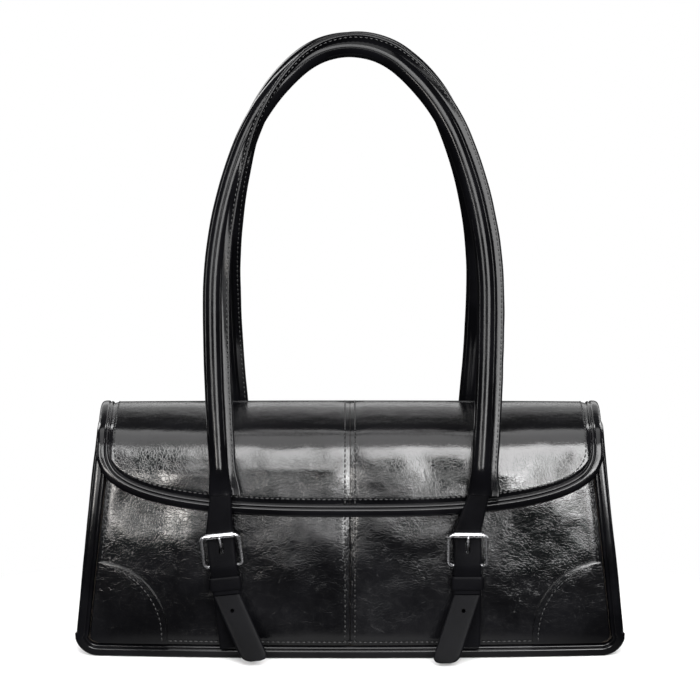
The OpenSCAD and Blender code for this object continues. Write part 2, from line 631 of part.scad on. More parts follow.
// Loose tail, hinged where the strap leaves the keeper
tail_tip_r = 5;
module tail(side) {
    low = -tail_l;
    shift = -side * tail_shift;
    translate([0, tongue_y, tail_z]) rotate([-tail_flare, 0, 0]) difference() {
        translate([0, tongue_t / 2, 0]) rotate([90, 0, 0]) linear_extrude(tongue_t) hull() {
            translate([-strap_w / 2, -3]) square([strap_w, 2.5]);
            for (s = [-1, 1]) translate([shift + s * (strap_w / 2 - tail_tip_r), low + tail_tip_r])
                circle(r = tail_tip_r, $fn = 48);
        }
        translate([shift * 0.18, 10, -9]) rotate([90, 0, 0]) cylinder(h = 20, r = 1.2, $fn = 32);
    }
}

// Flat ends of the rear handle and the tabs sewn to the back
rear_foot_z = 112;
rear_start_z = rear_foot_z + 7.3;
rear_y = flap_back(rear_foot_x) + handle_r + 0.8
    + (flap_top + flap_lining_t + flap_t - rear_start_z) * tan(rear_lean);
tab_top_z = rear_foot_z - 8;
module rear_tab() {
    tab_h = 36;
    function back_y(z) = wall_y(rear_foot_x, z) + seam_gap + tongue_t / 2 + 0.1;
    line = [for (i = [0 : 6]) let (z = tab_top_z - tab_h * (1 - i / 6)) [back_y(z), z]];
    intersection() {
        band(line, strap_w, tongue_t);
        rotate([-90, 0, 0]) linear_extrude(100) mirror([0, 1]) hull() {
            translate([-strap_w / 2, tab_top_z - 3]) square([strap_w, 3]);
            translate([0, tab_top_z - tab_h + strap_w / 2]) circle(r = strap_w / 2, $fn = 64);
        }
    }
}
module rear_end() {
    y0 = wall_y(rear_foot_x, tab_top_z) + seam_gap + tongue_t / 2 + 0.1;
    band([[y0, tab_top_z + 0.3], [y0 + 0.6, tab_top_z + 3],
        [rear_y - 0.4, rear_foot_z + 3], [rear_y, rear_start_z - 0.9]],
        strap_w - 3, tongue_t);
}

module front_handle_place() {
    translate([0, front_foot_y, front_foot_z]) rotate([-front_lean, 0, 0]) children();
}
module rear_handle_place() {
    translate([0, rear_y, rear_start_z]) rotate([rear_lean, 0, 0]) children();
}

module left() { mirror([1, 0, 0]) children(); }
module to_back() { mirror([0, 1, 0]) children(); }

base_panel();
base_board();
color(leather) left() half_panel(front_h);  // front_panel_left
color(leather) half_panel(front_h);  // front_panel_right
color(leather) left() to_back() half_panel(mouth_h);  // back_panel_left
color(leather) to_back() half_panel(mouth_h);  // back_panel_right
color(leather) left() gusset();  // gusset_left
color(leather) gusset();  // gusset_right
color(leather) wall_binding(front_h);  // front_binding
color(leather) to_back() wall_binding(mouth_h);  // back_binding
color(leather) left() corner_patch();  // front_patch_left
color(leather) corner_patch();  // front_patch_right
color(leather) left() to_back() corner_patch();  // back_patch_left
color(leather) to_back() corner_patch();  // back_patch_right
lining();
mouth_facing();
flap_back_band();
half_flap(-flap_cols, 0);  // flap_left
half_flap(0, flap_cols);  // flap_right
flap_lining();
flap_binding();
magnet(magnet_gap, magnet_t);  // front_magnet
magnet(-wall - seam_gap - washer_t, washer_t);  // front_magnet_washer
magnet(magnet_t + 2 * magnet_gap, magnet_t);  // flap_magnet
front_handle_place() handle_wrap(front_reach, front_foot_x, front_leg);  // front_handle_wrap
front_handle_place() handle_cord(front_reach, front_foot_x, front_leg);  // front_handle_cord
rear_handle_place() handle_wrap(rear_reach, rear_foot_x, rear_leg);  // rear_handle_wrap
rear_handle_place() handle_cord(rear_reach, rear_foot_x, rear_leg);  // rear_handle_cord
color(leather) translate([-rear_foot_x, 0, 0]) rear_tab();  // rear_tab_left
color(leather) translate([rear_foot_x, 0, 0]) rear_tab();  // rear_tab_right
color(leather) translate([-rear_foot_x, 0, 0]) rear_end();  // rear_end_left
color(leather) translate([rear_foot_x, 0, 0]) rear_end();  // rear_end_right
color(satin) on_strap(-1) base_strap();  // base_strap_left
color(satin) on_strap(1) base_strap();  // base_strap_right
color(satin) on_strap(-1) buckle_strap();  // buckle_strap_left
color(satin) on_strap(1) buckle_strap();  // buckle_strap_right
color(metal) on_strap(-1) on_heel() buckle_frame();  // buckle_frame_left
color(metal) on_strap(1) on_heel() buckle_frame();  // buckle_frame_right
color(metal) on_strap(-1) on_heel() translate([0, 0, buckle_l]) roller();  // buckle_roller_left
color(metal) on_strap(1) on_heel() translate([0, 0, buckle_l]) roller();  // buckle_roller_right
color(metal) on_strap(-1) prong();  // buckle_prong_left
color(metal) on_strap(1) prong();  // buckle_prong_right
color(satin) on_strap(-1) tongue(-1);  // tongue_left
color(satin) on_strap(1) tongue(1);  // tongue_right
color(satin) on_strap(-1) keeper();  // keeper_left
color(satin) on_strap(1) keeper();  // keeper_right
color(satin) on_strap(-1) tail(-1);  // strap_tail_left
color(satin) on_strap(1) tail(1);  // strap_tail_right
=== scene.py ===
"""Looks of a black leather baguette bag with two rolled handles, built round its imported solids."""

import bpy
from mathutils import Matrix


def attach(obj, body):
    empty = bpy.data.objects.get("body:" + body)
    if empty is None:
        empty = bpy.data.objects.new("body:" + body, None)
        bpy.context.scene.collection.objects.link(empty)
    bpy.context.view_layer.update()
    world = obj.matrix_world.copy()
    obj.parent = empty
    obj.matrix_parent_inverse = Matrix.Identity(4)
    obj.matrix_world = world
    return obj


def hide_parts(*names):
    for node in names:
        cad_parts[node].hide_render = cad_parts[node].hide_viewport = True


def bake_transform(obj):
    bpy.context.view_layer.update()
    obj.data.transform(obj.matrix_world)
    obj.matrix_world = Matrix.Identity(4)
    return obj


bl_info = {
    "name": "Baguette bag",
    "version": (1, 0, 0),
    "blender": (4, 5, 0),
    "location": "View3D > Sidebar > Bag",
    "description": "Leather, stitching, buckles and studio for the baguette bag",
    "category": "Object",
}

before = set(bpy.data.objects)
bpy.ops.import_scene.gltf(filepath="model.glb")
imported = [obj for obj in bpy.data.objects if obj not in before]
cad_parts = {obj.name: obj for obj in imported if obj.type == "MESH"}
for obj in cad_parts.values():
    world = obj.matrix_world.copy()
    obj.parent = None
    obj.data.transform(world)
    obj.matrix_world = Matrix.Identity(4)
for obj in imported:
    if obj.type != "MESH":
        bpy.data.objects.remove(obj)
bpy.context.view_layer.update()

import math

import bmesh
import bpy
import numpy as np
from bpy.props import FloatProperty, FloatVectorProperty, PointerProperty
from mathutils import Vector, noise

MM = 0.001
SIDES = ((-1, "left"), (1, "right"))

# Sizes of the body, in millimetres, as the solids have them
BASE_W, MOUTH_W, BASE_D, MOUTH_D = 326, 296, 100, 74
MOUTH_H, FRONT_H = 134, 119
CORNER_R = 14
BELLY, TUCK, TUCK_H = 4, 4, 16
BASE_BOW, MOUTH_BOW = 7, 4
GUSSET_SWELL = 2
WALL, GAP = 2.4, 0.3
BIND_W, BIND_T = 8, 4.2
PATCH_REACH, PATCH_H, PATCH_T = 45, 58, 1.2
LINING_T, BASE_T, BOARD_T = 0.8, 2.4, 2
FACING_H, FACING_T = 24, 1
PANEL_LOW = BIND_W + GAP
BASE_INSET = (BIND_T + WALL) / 2 + GAP
# Stitch rows: off the centre seam, and in from a bound edge
SEAM_ROW, EDGE_ROW = 2.9, 2.4
# Sizes of the flap
FLAP_LOW, FLAP_TURN, FLAP_CROWN = 86, 126, 3
ROUND_H, ROUND_D = 20, 20
FLAP_T, FLAP_LINING_T, FLAP_BIND_T = 2.2, 1, 4.2
BAND_H, FOLD_R = 16, 4.6
FLAP_TOP = MOUTH_H + 0.8
FLAP_END = FLAP_TOP - ROUND_H
FLAP_STAND = 3.6
FLAP_UNDER = FLAP_LINING_T + 0.2
FLAP_INSET = BIND_W + GAP + 0.3
FLAP_TUCKED = 1.4
FLAP_HALF = MOUTH_W / 2 + 0.5
FLAP_BACK = MOUTH_W / 2 + 3
# Sizes of the handles
HANDLE_R, WRAP_T, SEAM_W, SEAM_T = 5.8, 1.2, 4.2, 2.4
FRONT_REACH, REAR_REACH, FRONT_FOOT, REAR_FOOT = 79.5, 76, 75, 71
ARCH_RISE, FRONT_LEG, REAR_LEG = 147.5, 112, 95
FRONT_LEAN, REAR_LEAN = 9.2, 9.5
CROWN_R, CROWN_A, SHOULDER_A = 45, 40, 68
REAR_START = 119.3
FLAT_END, CORD_START = 16, 18
LEG_POINTS, ARCH_POINTS = 51, 92
# The solids' own route has 7 steps a leg and 13 a half arch
LEG_SHARE = 7 / 40
# Sizes of the straps and buckles
STRAP_X, STRAP_W, STRAP_LAYER, TONGUE_T, STRAP_Y = 68.5, 16, 1.5, 2.4, 50
LEAN = {-1: -6.0, 1: 0.0}
HEEL_H, WIRE_R, BUCKLE_W, BUCKLE_L, BUCKLE_TILT = 58, 1, 24, 20.4, 17.4
RUNNING, ROLLER_WALL, PRONG_R, BUCKLE_CORNER = 0.05, 0.65, 0.9, 3.0
KEEPER_H, KEEPER_T, KEEPER_GAP, KEEPER_CORNER = 8, 1.2, 0.3, 1.6
TAIL_L, TAIL_SHIFT, TAIL_FLARE, TAIL_CURL, TAIL_TIP_R = 40, 13, 14, 1.2, 5.0
HOLE_R, HOLE_STRETCH, PUNCH_REACH = 1.2, 2.6, 6
TAB_TOP, TAB_H, TAB_ROW = 104, 36, 5.6
FOOT_Z = BIND_W + 0.5
HEEL_Y = -STRAP_Y - WIRE_R - RUNNING - STRAP_LAYER - 0.1
ROLLER_R = WIRE_R + RUNNING + ROLLER_WALL
TILT = math.radians(BUCKLE_TILT)
ROLLER_Y = HEEL_Y - BUCKLE_L * math.sin(TILT)
ROLLER_Z = HEEL_H + BUCKLE_L * math.cos(TILT)
TONGUE_Y = -STRAP_Y - 2 * STRAP_LAYER - KEEPER_GAP - TONGUE_T / 2
TONGUE_HEEL_Y = HEEL_Y - WIRE_R - RUNNING - STRAP_LAYER - KEEPER_GAP - TONGUE_T / 2
TONGUE_ROLLER_Y = ROLLER_Y + ROLLER_R + KEEPER_GAP + TONGUE_T / 2
FOOT_TOP = ROLLER_Z + 23
TAIL_Z = HEEL_H - 17
KEEPER_Z = TAIL_Z + 3


# Forms shared with the solids


def clamp(v):
    return min(1, max(0, v))


def depth_at(z):
    s = z / MOUTH_H
    return (BASE_D / 2 + (MOUTH_D - BASE_D) / 2 * s + BELLY * math.sin(math.pi * min(s, 1))
            - TUCK * max(0, 1 - z / TUCK_H) ** 2)


def width_at(z):
    return BASE_W / 2 + (MOUTH_W - BASE_W) / 2 * z / MOUTH_H


def wall_y(x, z):
    """Distance of the front or back wall's face from the middle plane."""
    bow = BASE_BOW + (MOUTH_BOW - BASE_BOW) * z / MOUTH_H
    return depth_at(z) - bow * (x / width_at(z)) ** 2


def outline_x(z, inset):
    """Half width of a wall at a height, inside its edge by the inset, with its lower corner round."""
    if z >= CORNER_R:
        return width_at(z) - inset
    root = math.sqrt(max(0, (CORNER_R - inset) ** 2 - (CORNER_R - z) ** 2))
    return width_at(z) - CORNER_R + root


def flap_back(x):
    return wall_y(x, MOUTH_H) + GAP + FLAP_T


def flap_front_y(x, z):
    return wall_y(x, z) + FLAP_STAND


def flap_at(x, q, out):
    """Point of the flap, with both ends of the front rounding softened."""
    sharp = flap_profile(x, q, out)
    k = 1 - min(abs(q - 1), abs(q - 2)) / 0.45
    if k <= 0:
        return sharp
    around = [q + d * 0.3 for d in (-1, -0.67, -0.33, 0, 0.33, 0.67, 1)]
    near = np.mean([flap_profile(x, a, out) for a in around], axis=0)
    return tuple(np.add(np.multiply(sharp, 1 - k), near * k))


def flap_profile(x, q, out):
    """Point of the flap: q runs 0 to 1 over the top, 1 to 2 round the front edge, 2 to 3 down the front."""
    turn = flap_front_y(x, FLAP_END) - ROUND_D
    if q <= 1:
        s = 2 * q - 1
        return (x, flap_back(x) + (-turn - flap_back(x)) * q, FLAP_TOP + out + FLAP_CROWN * (1 - s * s))
    if q <= 2:
        g = math.radians(90 * (q - 1))
        return (x, -turn - (ROUND_D + out) * math.sin(g), FLAP_END + (ROUND_H + out) * math.cos(g))
    z = FLAP_END + (FLAP_LOW - FLAP_END) * (q - 2)
    return (x, -flap_front_y(x, z) - out, z)


def flap_q(z):
    """Place along the flap's profile of a height on its front."""
    if z > FLAP_END:
        return 1 + math.degrees(math.acos((z - FLAP_END) / ROUND_H)) / 90
    return 2 + (FLAP_END - z) / (FLAP_END - FLAP_LOW)


def flap_side(q):
    """Half width of the flap, which widens a little towards the back seam."""
    return FLAP_HALF + (FLAP_BACK - FLAP_HALF) * max(0, 1 - q)


def flap_edge(g, inset):
    """Half width and height of the flap's lower edge, g from 0 in the middle to 90 at the side."""
    a = math.radians(g)
    p = 2 / 2.8
    return ((FLAP_HALF - inset) * math.sin(a) ** p,
            FLAP_TURN - (FLAP_TURN - FLAP_LOW - inset) * max(0, math.cos(a)) ** p)


def rim_z(x, y):
    """Height of the body's rim, which follows the flap's rounding down to the front wall."""
    turn = flap_front_y(min(abs(x), MOUTH_W / 2), FLAP_END) - ROUND_D
    g = math.asin(clamp((-y - turn) / ROUND_D))
    return max(FRONT_H, FLAP_END + ROUND_H * math.cos(g) - 0.8)


FRONT_FOOT_Y = min(TONGUE_ROLLER_Y, -wall_y(FRONT_FOOT, FLAP_LOW) - FLAP_STAND - FLAP_BIND_T - HANDLE_R + 2)
REAR_START_Y = (flap_back(REAR_FOOT) + HANDLE_R + 0.8
                + (FLAP_TOP + FLAP_LINING_T + FLAP_T - REAR_START) * math.tan(math.radians(REAR_LEAN)))


def soft_noise(x, y, z, size, seed=0.0):
    return noise.noise(Vector((x / size + seed, y / size, z / size)))


def dent(x, y, z, amount):
    """Slow hollows and swellings of padded leather, in millimetres."""
    return amount * (soft_noise(x, y, z, 46, 3.1) + 0.35 * soft_noise(x, y, z, 21, 9.7)
                     + 0.12 * soft_noise(x, y, z, 9, 5.3))


def seam_roll(distance, depth=1.0, reach=2.2):
    """How far leather rolls in beside a seam."""
    return depth * math.exp(-(distance / reach) ** 2)


# Meshes


def add_piece(name, shape, key, body, *replaces):
    """Makes one finished piece from points in millimetres, riding on its body in place of its solid."""
    points, faces = shape
    mesh = bpy.data.meshes.new(name)
    mesh.from_pydata([(p[0] * MM, p[1] * MM, p[2] * MM) for p in points], [], faces)
    bm = bmesh.new()
    bm.from_mesh(mesh)
    bmesh.ops.remove_doubles(bm, verts=bm.verts, dist=1e-6)
    bmesh.ops.recalc_face_normals(bm, faces=bm.faces)
    bm.to_mesh(mesh)
    bm.free()
    mesh.polygons.foreach_set("use_smooth", [True] * len(mesh.polygons))
    mesh.set_sharp_from_angle(angle=math.radians(40))
    mesh.materials.append(mat(key))
    obj = bpy.data.objects.new(name, mesh)
    bpy.context.scene.collection.objects.link(obj)
    if body:
        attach(obj, body)
    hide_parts(*replaces)
    return obj


def bevel(obj, width):
    """Rounds the cut edges of a piece, by a width in millimetres."""
    m = obj.modifiers.new("edge", "BEVEL")
    m.width = width * MM
    m.segments = 3
    m.limit_method = "ANGLE"
    m.angle_limit = math.radians(40)
    m.harden_normals = False


def slab(outer, inner):
    """Closed sheet between two grids of points."""
    n, m = len(outer), len(outer[0])
    points = [p for row in outer for p in row] + [p for row in inner for p in row]

    def at(s, i, j):
        return (s * n + i) * m + j

    faces = []
    for i in range(n - 1):
        for j in range(m - 1):
            faces.append((at(0, i, j), at(0, i, j + 1), at(0, i + 1, j + 1), at(0, i + 1, j)))
            faces.append((at(1, i, j), at(1, i + 1, j), at(1, i + 1, j + 1), at(1, i, j + 1)))
    for i in range(n - 1):
        faces.append((at(0, i, 0), at(0, i + 1, 0), at(1, i + 1, 0), at(1, i, 0)))
        faces.append((at(0, i, m - 1), at(1, i, m - 1), at(1, i + 1, m - 1), at(0, i + 1, m - 1)))
    for j in range(m - 1):
        faces.append((at(0, 0, j), at(1, 0, j), at(1, 0, j + 1), at(0, 0, j + 1)))
        faces.append((at(0, n - 1, j), at(0, n - 1, j + 1), at(1, n - 1, j + 1), at(1, n - 1, j)))
    return points, faces


def sheet_from(rows, cols, spot, top, low):
    """Closed sheet whose two faces are spot(i, j, top) and spot(i, j, low)."""
    return slab(*([[spot(i, j, face) for j in range(cols + 1)] for i in range(rows + 1)] for face in (top, low)))


def loft(rings, closed=False):
    """Skin over rings of points, capped at both ends unless the route is closed."""
    n, m = len(rings), len(rings[0])
    points = [tuple(p) for ring in rings for p in ring]
    faces = []
    for i in range(n if closed else n - 1):
        for j in range(m):
            a, b, k = i * m, (i + 1) % n * m, (j + 1) % m
            faces.append((a + j, a + k, b + k, b + j))
    if not closed:
        faces.append(tuple(range(m - 1, -1, -1)))
        faces.append(tuple((n - 1) * m + j for j in range(m)))
    return points, faces


def unit(v):
    v = np.asarray(v, float)
    return v / np.linalg.norm(v)


def lengths(route):
    """Length of the route up to each of its points."""
    return np.concatenate([[0], np.cumsum(np.linalg.norm(np.diff(route, axis=0), axis=1))])


def tangents(route, closed=False):
    route = np.asarray(route, float)
    n = len(route)
    if closed:
        return [unit(route[(i + 1) % n] - route[i - 1]) for i in range(n)]
    return [unit(route[min(i + 1, n - 1)] - route[max(i - 1, 0)]) for i in range(n)]


def smooth_route(points, count):
    """Even points on a Catmull-Rom line through the given ones."""
    p = np.asarray(points, float)
    ext = np.vstack([2 * p[0] - p[1], p, 2 * p[-1] - p[-2]])
    fine = []
    for a, b, c, d in zip(ext, ext[1:], ext[2:], ext[3:]):
        for t in np.linspace(0, 1, 24, endpoint=False):
            fine.append(0.5 * (2 * b + (c - a) * t + (2 * a - 5 * b + 4 * c - d) * t ** 2
                               + (3 * b - a - 3 * c + d) * t ** 3))
    fine = np.array(fine + [ext[-2]])
    far = lengths(fine)
    want = np.linspace(0, far[-1], count)
    return np.column_stack([np.interp(want, far, fine[:, k]) for k in range(p.shape[1])])


def circle(count):
    """Angles of even steps once round."""
    return [2 * math.pi * k / count for k in range(count)]


def rounded_loop(half, low, high, r, turns, step):
    """Points round a rectangle with round corners, half wide to each side and from low to high."""
    ring = []
    for cx, cy, start in ((half - r, high - r, 0), (-half + r, high - r, 90),
                          (-half + r, low + r, 180), (half - r, low + r, 270)):
        ring += [(cx + r * math.cos(a), cy + r * math.sin(a))
                 for a in np.radians(np.linspace(start, start + 90, turns))]
    fine = []
    for a, b in zip(ring, ring[1:] + ring[:1]):
        n = max(1, int(math.dist(a, b) / step))
        fine += [np.add(a, np.subtract(b, a) * k / n) for k in range(n)]
    return fine


def flat_section(w, t, sides=24, power=0.3):
    """Rounded flat section, w across and t thick."""
    out = []
    for k in range(sides):
        g = 2 * math.pi * (k + 0.5) / sides
        c, s = math.cos(g), math.sin(g)
        out.append((w / 2 * math.copysign(abs(c) ** power, c), t / 2 * math.copysign(abs(s) ** 0.75, s)))
    return out


def bound_section(w, t, crease):
    """Rolled leather edge: a round outer roll and a flat inner strip with a crease between them."""
    def height(u):
        return t / 2 * max(0, 1 - abs(2 * u / w) ** 3.2) ** 0.55

    top = [w / 2 * math.sin(math.pi / 2 * k) for k in np.linspace(-1, 1, 37)]
    low = [w / 2 * math.sin(math.pi / 2 * k) for k in np.linspace(1, -1, 15)[1:-1]]
    return ([(u, height(u) - 0.8 * math.exp(-((u - crease) / 0.55) ** 2)) for u in top]
            + [(u, -height(u)) for u in low])


def sweep(route, normals, section, closed=False):
    """A section carried along a route; its first size lies across the normal."""
    rings = []
    for p, t, n in zip(route, tangents(route, closed), normals):
        n = np.asarray(n, float)
        n = unit(n - t * np.dot(n, t))
        side = np.cross(t, n)
        rings.append([np.asarray(p) + side * u + n * v for u, v in section])
    return loft(rings, closed)


# Materials


def srgb(hex_colour):
    """Linear colour of an sRGB hex code."""
    h = hex_colour.lstrip("#")
    rgb = [int(h[i:i + 2], 16) / 255 for i in (0, 2, 4)]
    return tuple(c / 12.92 if c <= 0.04045 else ((c + 0.055) / 1.055) ** 2.4 for c in rgb) + (1.0,)


def grey(v):
    return (v, v, v, 1)


def add_node(tree, kind, inputs=None, **settings):
    """Adds a node with its settings, and links or sets its inputs."""
    n = tree.nodes.new(kind)
    for key, value in settings.items():
        setattr(n, key, value)
    for key, value in (inputs or {}).items():
        socket = n.inputs[key]
        if isinstance(value, bpy.types.NodeSocket):
            tree.links.new(value, socket)
        else:
            socket.default_value = value
    return n


def new_material(name, **sockets):
    """A material, its tree and shader, and object coordinates in millimetres."""
    made = bpy.data.materials.new(name)
    made.use_nodes = True
    tree = made.node_tree
    bsdf = next(n for n in tree.nodes if n.type == "BSDF_PRINCIPLED")
    for key, value in sockets.items():
        bsdf.inputs[key.replace("_", " ")].default_value = value
    coords = add_node(tree, "ShaderNodeTexCoord")
    mm = add_node(tree, "ShaderNodeMapping", {"Vector": coords.outputs["Object"], "Scale": (1000, 1000, 1000)})
    return made, tree, bsdf, mm.outputs[0]


def ramp(tree, value, stops):
    r = add_node(tree, "ShaderNodeValToRGB", {"Fac": value})
    for e, (pos, colour) in zip(r.color_ramp.elements, stops):
        e.position = pos
        e.color = colour
    return r.outputs["Color"]


def bump(tree, height, distance, below=None, strength=1.0):
    """Bump of a depth in millimetres, on top of the bump below it."""
    inputs = {"Strength": strength, "Distance": distance * MM, "Height": height}
    if below:
        inputs["Normal"] = below
    return add_node(tree, "ShaderNodeBump", inputs).outputs[0]


def leather(name, deep, worn, rough, crackle, grain, waves, shine=0.5):
    """Black leather: deep and worn tones, fine grain, a crackle of creases, and slow waves in the padding.

    The scales are one over a size in millimetres; crackle, grain and waves are depths in millimetres.
    """
    made, tree, bsdf, mm = new_material(name, IOR=1.5, Specular_IOR_Level=shine)
    # creases wander by 9 mm, and stand closer together along the bag than up and down
    warp = add_node(tree, "ShaderNodeTexNoise", {"Vector": mm, "Scale": 1 / 9, "Detail": 4.0})
    bent = add_node(tree, "ShaderNodeVectorMath", {0: warp.outputs["Color"], 1: (9, 9, 9)}, operation="MULTIPLY")
    place = add_node(tree, "ShaderNodeVectorMath", {0: mm, 1: bent.outputs[0]}, operation="ADD")
    drawn = add_node(tree, "ShaderNodeVectorMath", {0: place.outputs[0], 1: (1.25, 1.0, 0.7)},
                     operation="MULTIPLY")
    ridges = add_node(tree, "ShaderNodeTexNoise", {"Vector": drawn.outputs[0], "Scale": 1 / 8, "Detail": 4.0,
                                                   "Roughness": 0.6}, noise_type="RIDGED_MULTIFRACTAL")
    crease = ramp(tree, ridges.outputs["Fac"], [(0.35, grey(1)), (0.95, grey(0))])
    small = add_node(tree, "ShaderNodeTexVoronoi", {"Vector": place.outputs[0], "Scale": 1 / 1.7},
                     feature="DISTANCE_TO_EDGE")
    fine_crease = ramp(tree, small.outputs["Distance"], [(0, grey(0)), (0.13, grey(1))])
    patches = add_node(tree, "ShaderNodeTexNoise", {"Vector": mm, "Scale": 1 / 42, "Detail": 3.0})
    where = ramp(tree, patches.outputs["Fac"], [(0.42, grey(0)), (0.62, grey(1))])
    # the grain is drawn 1.2 mm wide, coarser than the real one, so that it shows
    pebble = add_node(tree, "ShaderNodeTexNoise", {"Vector": mm, "Scale": 1 / 1.2, "Detail": 4.0})
    slow = add_node(tree, "ShaderNodeTexNoise", {"Vector": mm, "Scale": 1 / 17, "Detail": 2.0})
    tone = add_node(tree, "ShaderNodeMix", {0: where, 6: srgb(deep), 7: srgb(worn)}, data_type="RGBA")
    line = add_node(tree, "ShaderNodeMix", {0: crease, 6: srgb(worn), 7: tone.outputs[2]}, data_type="RGBA")
    tree.links.new(line.outputs[2], bsdf.inputs["Base Color"])
    broad = add_node(tree, "ShaderNodeMapRange", {"Value": patches.outputs["Fac"], "From Min": 0.3, "From Max": 0.7,
                                                  "To Min": rough - 0.04, "To Max": rough + 0.05})
    streak = add_node(tree, "ShaderNodeTexNoise", {"Vector": mm, "Scale": 1 / 3.2, "Detail": 6.0})
    narrow = add_node(tree, "ShaderNodeMapRange", {"Value": streak.outputs["Fac"], "From Min": 0.3, "From Max": 0.7,
                                                   "To Min": -0.03, "To Max": 0.03})
    total = add_node(tree, "ShaderNodeMath", {0: broad.outputs[0], 1: narrow.outputs[0]}, operation="ADD")
    tree.links.new(total.outputs[0], bsdf.inputs["Roughness"])
    relief = bump(tree, slow.outputs["Fac"], waves)
    relief = bump(tree, crease, crackle, relief)
    relief = bump(tree, fine_crease, crackle * 0.2, relief)
    relief = bump(tree, pebble.outputs["Fac"], grain, relief)
    tree.links.new(relief, bsdf.inputs["Normal"])
    return made


def make_materials():
    m = {}
    # Glazed oil-wax leather of the body and flap: a hard wet shine, broken by creases and slow swellings
    m["glazed"] = leather("glazed_leather", "#040405", "#08080a", 0.15, 0.085, 0.022, 0.30)
    # The same leather rolled tight round the handles: smoother, so it gives long thin highlights
    m["rolled"] = leather("rolled_leather", "#040405", "#08080a", 0.13, 0.02, 0.006, 0.05, 0.16)
    # Leather wrapped over the seams' edges: smooth, with one bright line along the roll
    m["bound"] = leather("bound_leather", "#040405", "#08080a", 0.14, 0.006, 0.004, 0.05, 0.3)
    # Smooth strap leather: satin and almost free of highlights
    m["strap"] = leather("strap_leather", "#050506", "#09090b", 0.32, 0.004, 0.004, 0.03, 0.03)
    # Waxed polyester thread, twisted: a dull sheen in short steps of 0.25 mm
    m["thread"], tree, bsdf, mm = new_material("waxed_thread", Roughness=0.38, Base_Color=srgb("#0c0c0d"))
    twist = add_node(tree, "ShaderNodeTexNoise", {"Vector": mm, "Scale": 4.0, "Detail": 2.0})
    tree.links.new(bump(tree, twist.outputs["Fac"], 0.1, strength=0.6), bsdf.inputs["Normal"])
    # Polished nickel plate on wire: bright, with faint rubbing about 1 mm across
    m["nickel"], tree, bsdf, mm = new_material("polished_nickel", Metallic=1.0, Base_Color=srgb("#d3d3d6"))
    rub = add_node(tree, "ShaderNodeTexNoise", {"Vector": mm, "Scale": 0.9, "Detail": 5.0})
    worn = add_node(tree, "ShaderNodeMapRange", {"Value": rub.outputs["Fac"], "To Min": 0.20, "To Max": 0.34})
    tree.links.new(worn.outputs[0], bsdf.inputs["Roughness"])
    # Plain woven lining: matt, its threads drawn 0.75 mm apart, coarser than real ones, so that they show
    m["lining"], tree, bsdf, mm = new_material("woven_lining", Roughness=0.85, Sheen_Weight=0.15)
    warp, weft = (add_node(tree, "ShaderNodeTexWave", {"Vector": mm, "Scale": 0.42, "Distortion": 0.6},
                           bands_direction=way) for way in ("X", "Z"))
    both = add_node(tree, "ShaderNodeMath", {0: warp.outputs["Fac"], 1: weft.outputs["Fac"]}, operation="MULTIPLY")
    tree.links.new(ramp(tree, both.outputs[0], [(0, srgb("#2e2822")), (1, srgb("#544a3f"))]),
                   bsdf.inputs["Base Color"])
    tree.links.new(bump(tree, both.outputs[0], 0.3, strength=0.6), bsdf.inputs["Normal"])
    # Pressed fibre board: matt grey-brown flecks of about 1 mm
    m["board"], tree, bsdf, mm = new_material("fibre_board", Roughness=0.9)
    fibre = add_node(tree, "ShaderNodeTexNoise", {"Vector": mm, "Scale": 0.8, "Detail": 8.0})
    tree.links.new(ramp(tree, fibre.outputs["Fac"], [(0.3, srgb("#6f6350")), (0.7, srgb("#9a8b72"))]),
                   bsdf.inputs["Base Color"])
    # Twisted cotton filler cord: matt and fluffy
    m["cotton"], tree, bsdf, mm = new_material("cotton_cord", Roughness=0.9, Sheen_Weight=0.2)
    fluff = add_node(tree, "ShaderNodeTexNoise", {"Vector": mm, "Scale": 2.2, "Detail": 6.0})
    tree.links.new(ramp(tree, fluff.outputs["Fac"], [(0.3, srgb("#b9b1a0")), (0.7, srgb("#e6e0d2"))]),
                   bsdf.inputs["Base Color"])
    return m


MATERIALS = {}


def mat(key):
    if not MATERIALS:
        MATERIALS.update(make_materials())
    return MATERIALS[key]


# Stitching

STITCHES = {"bag": [], "flap": [], "front_handle": [], "rear_handle": []}


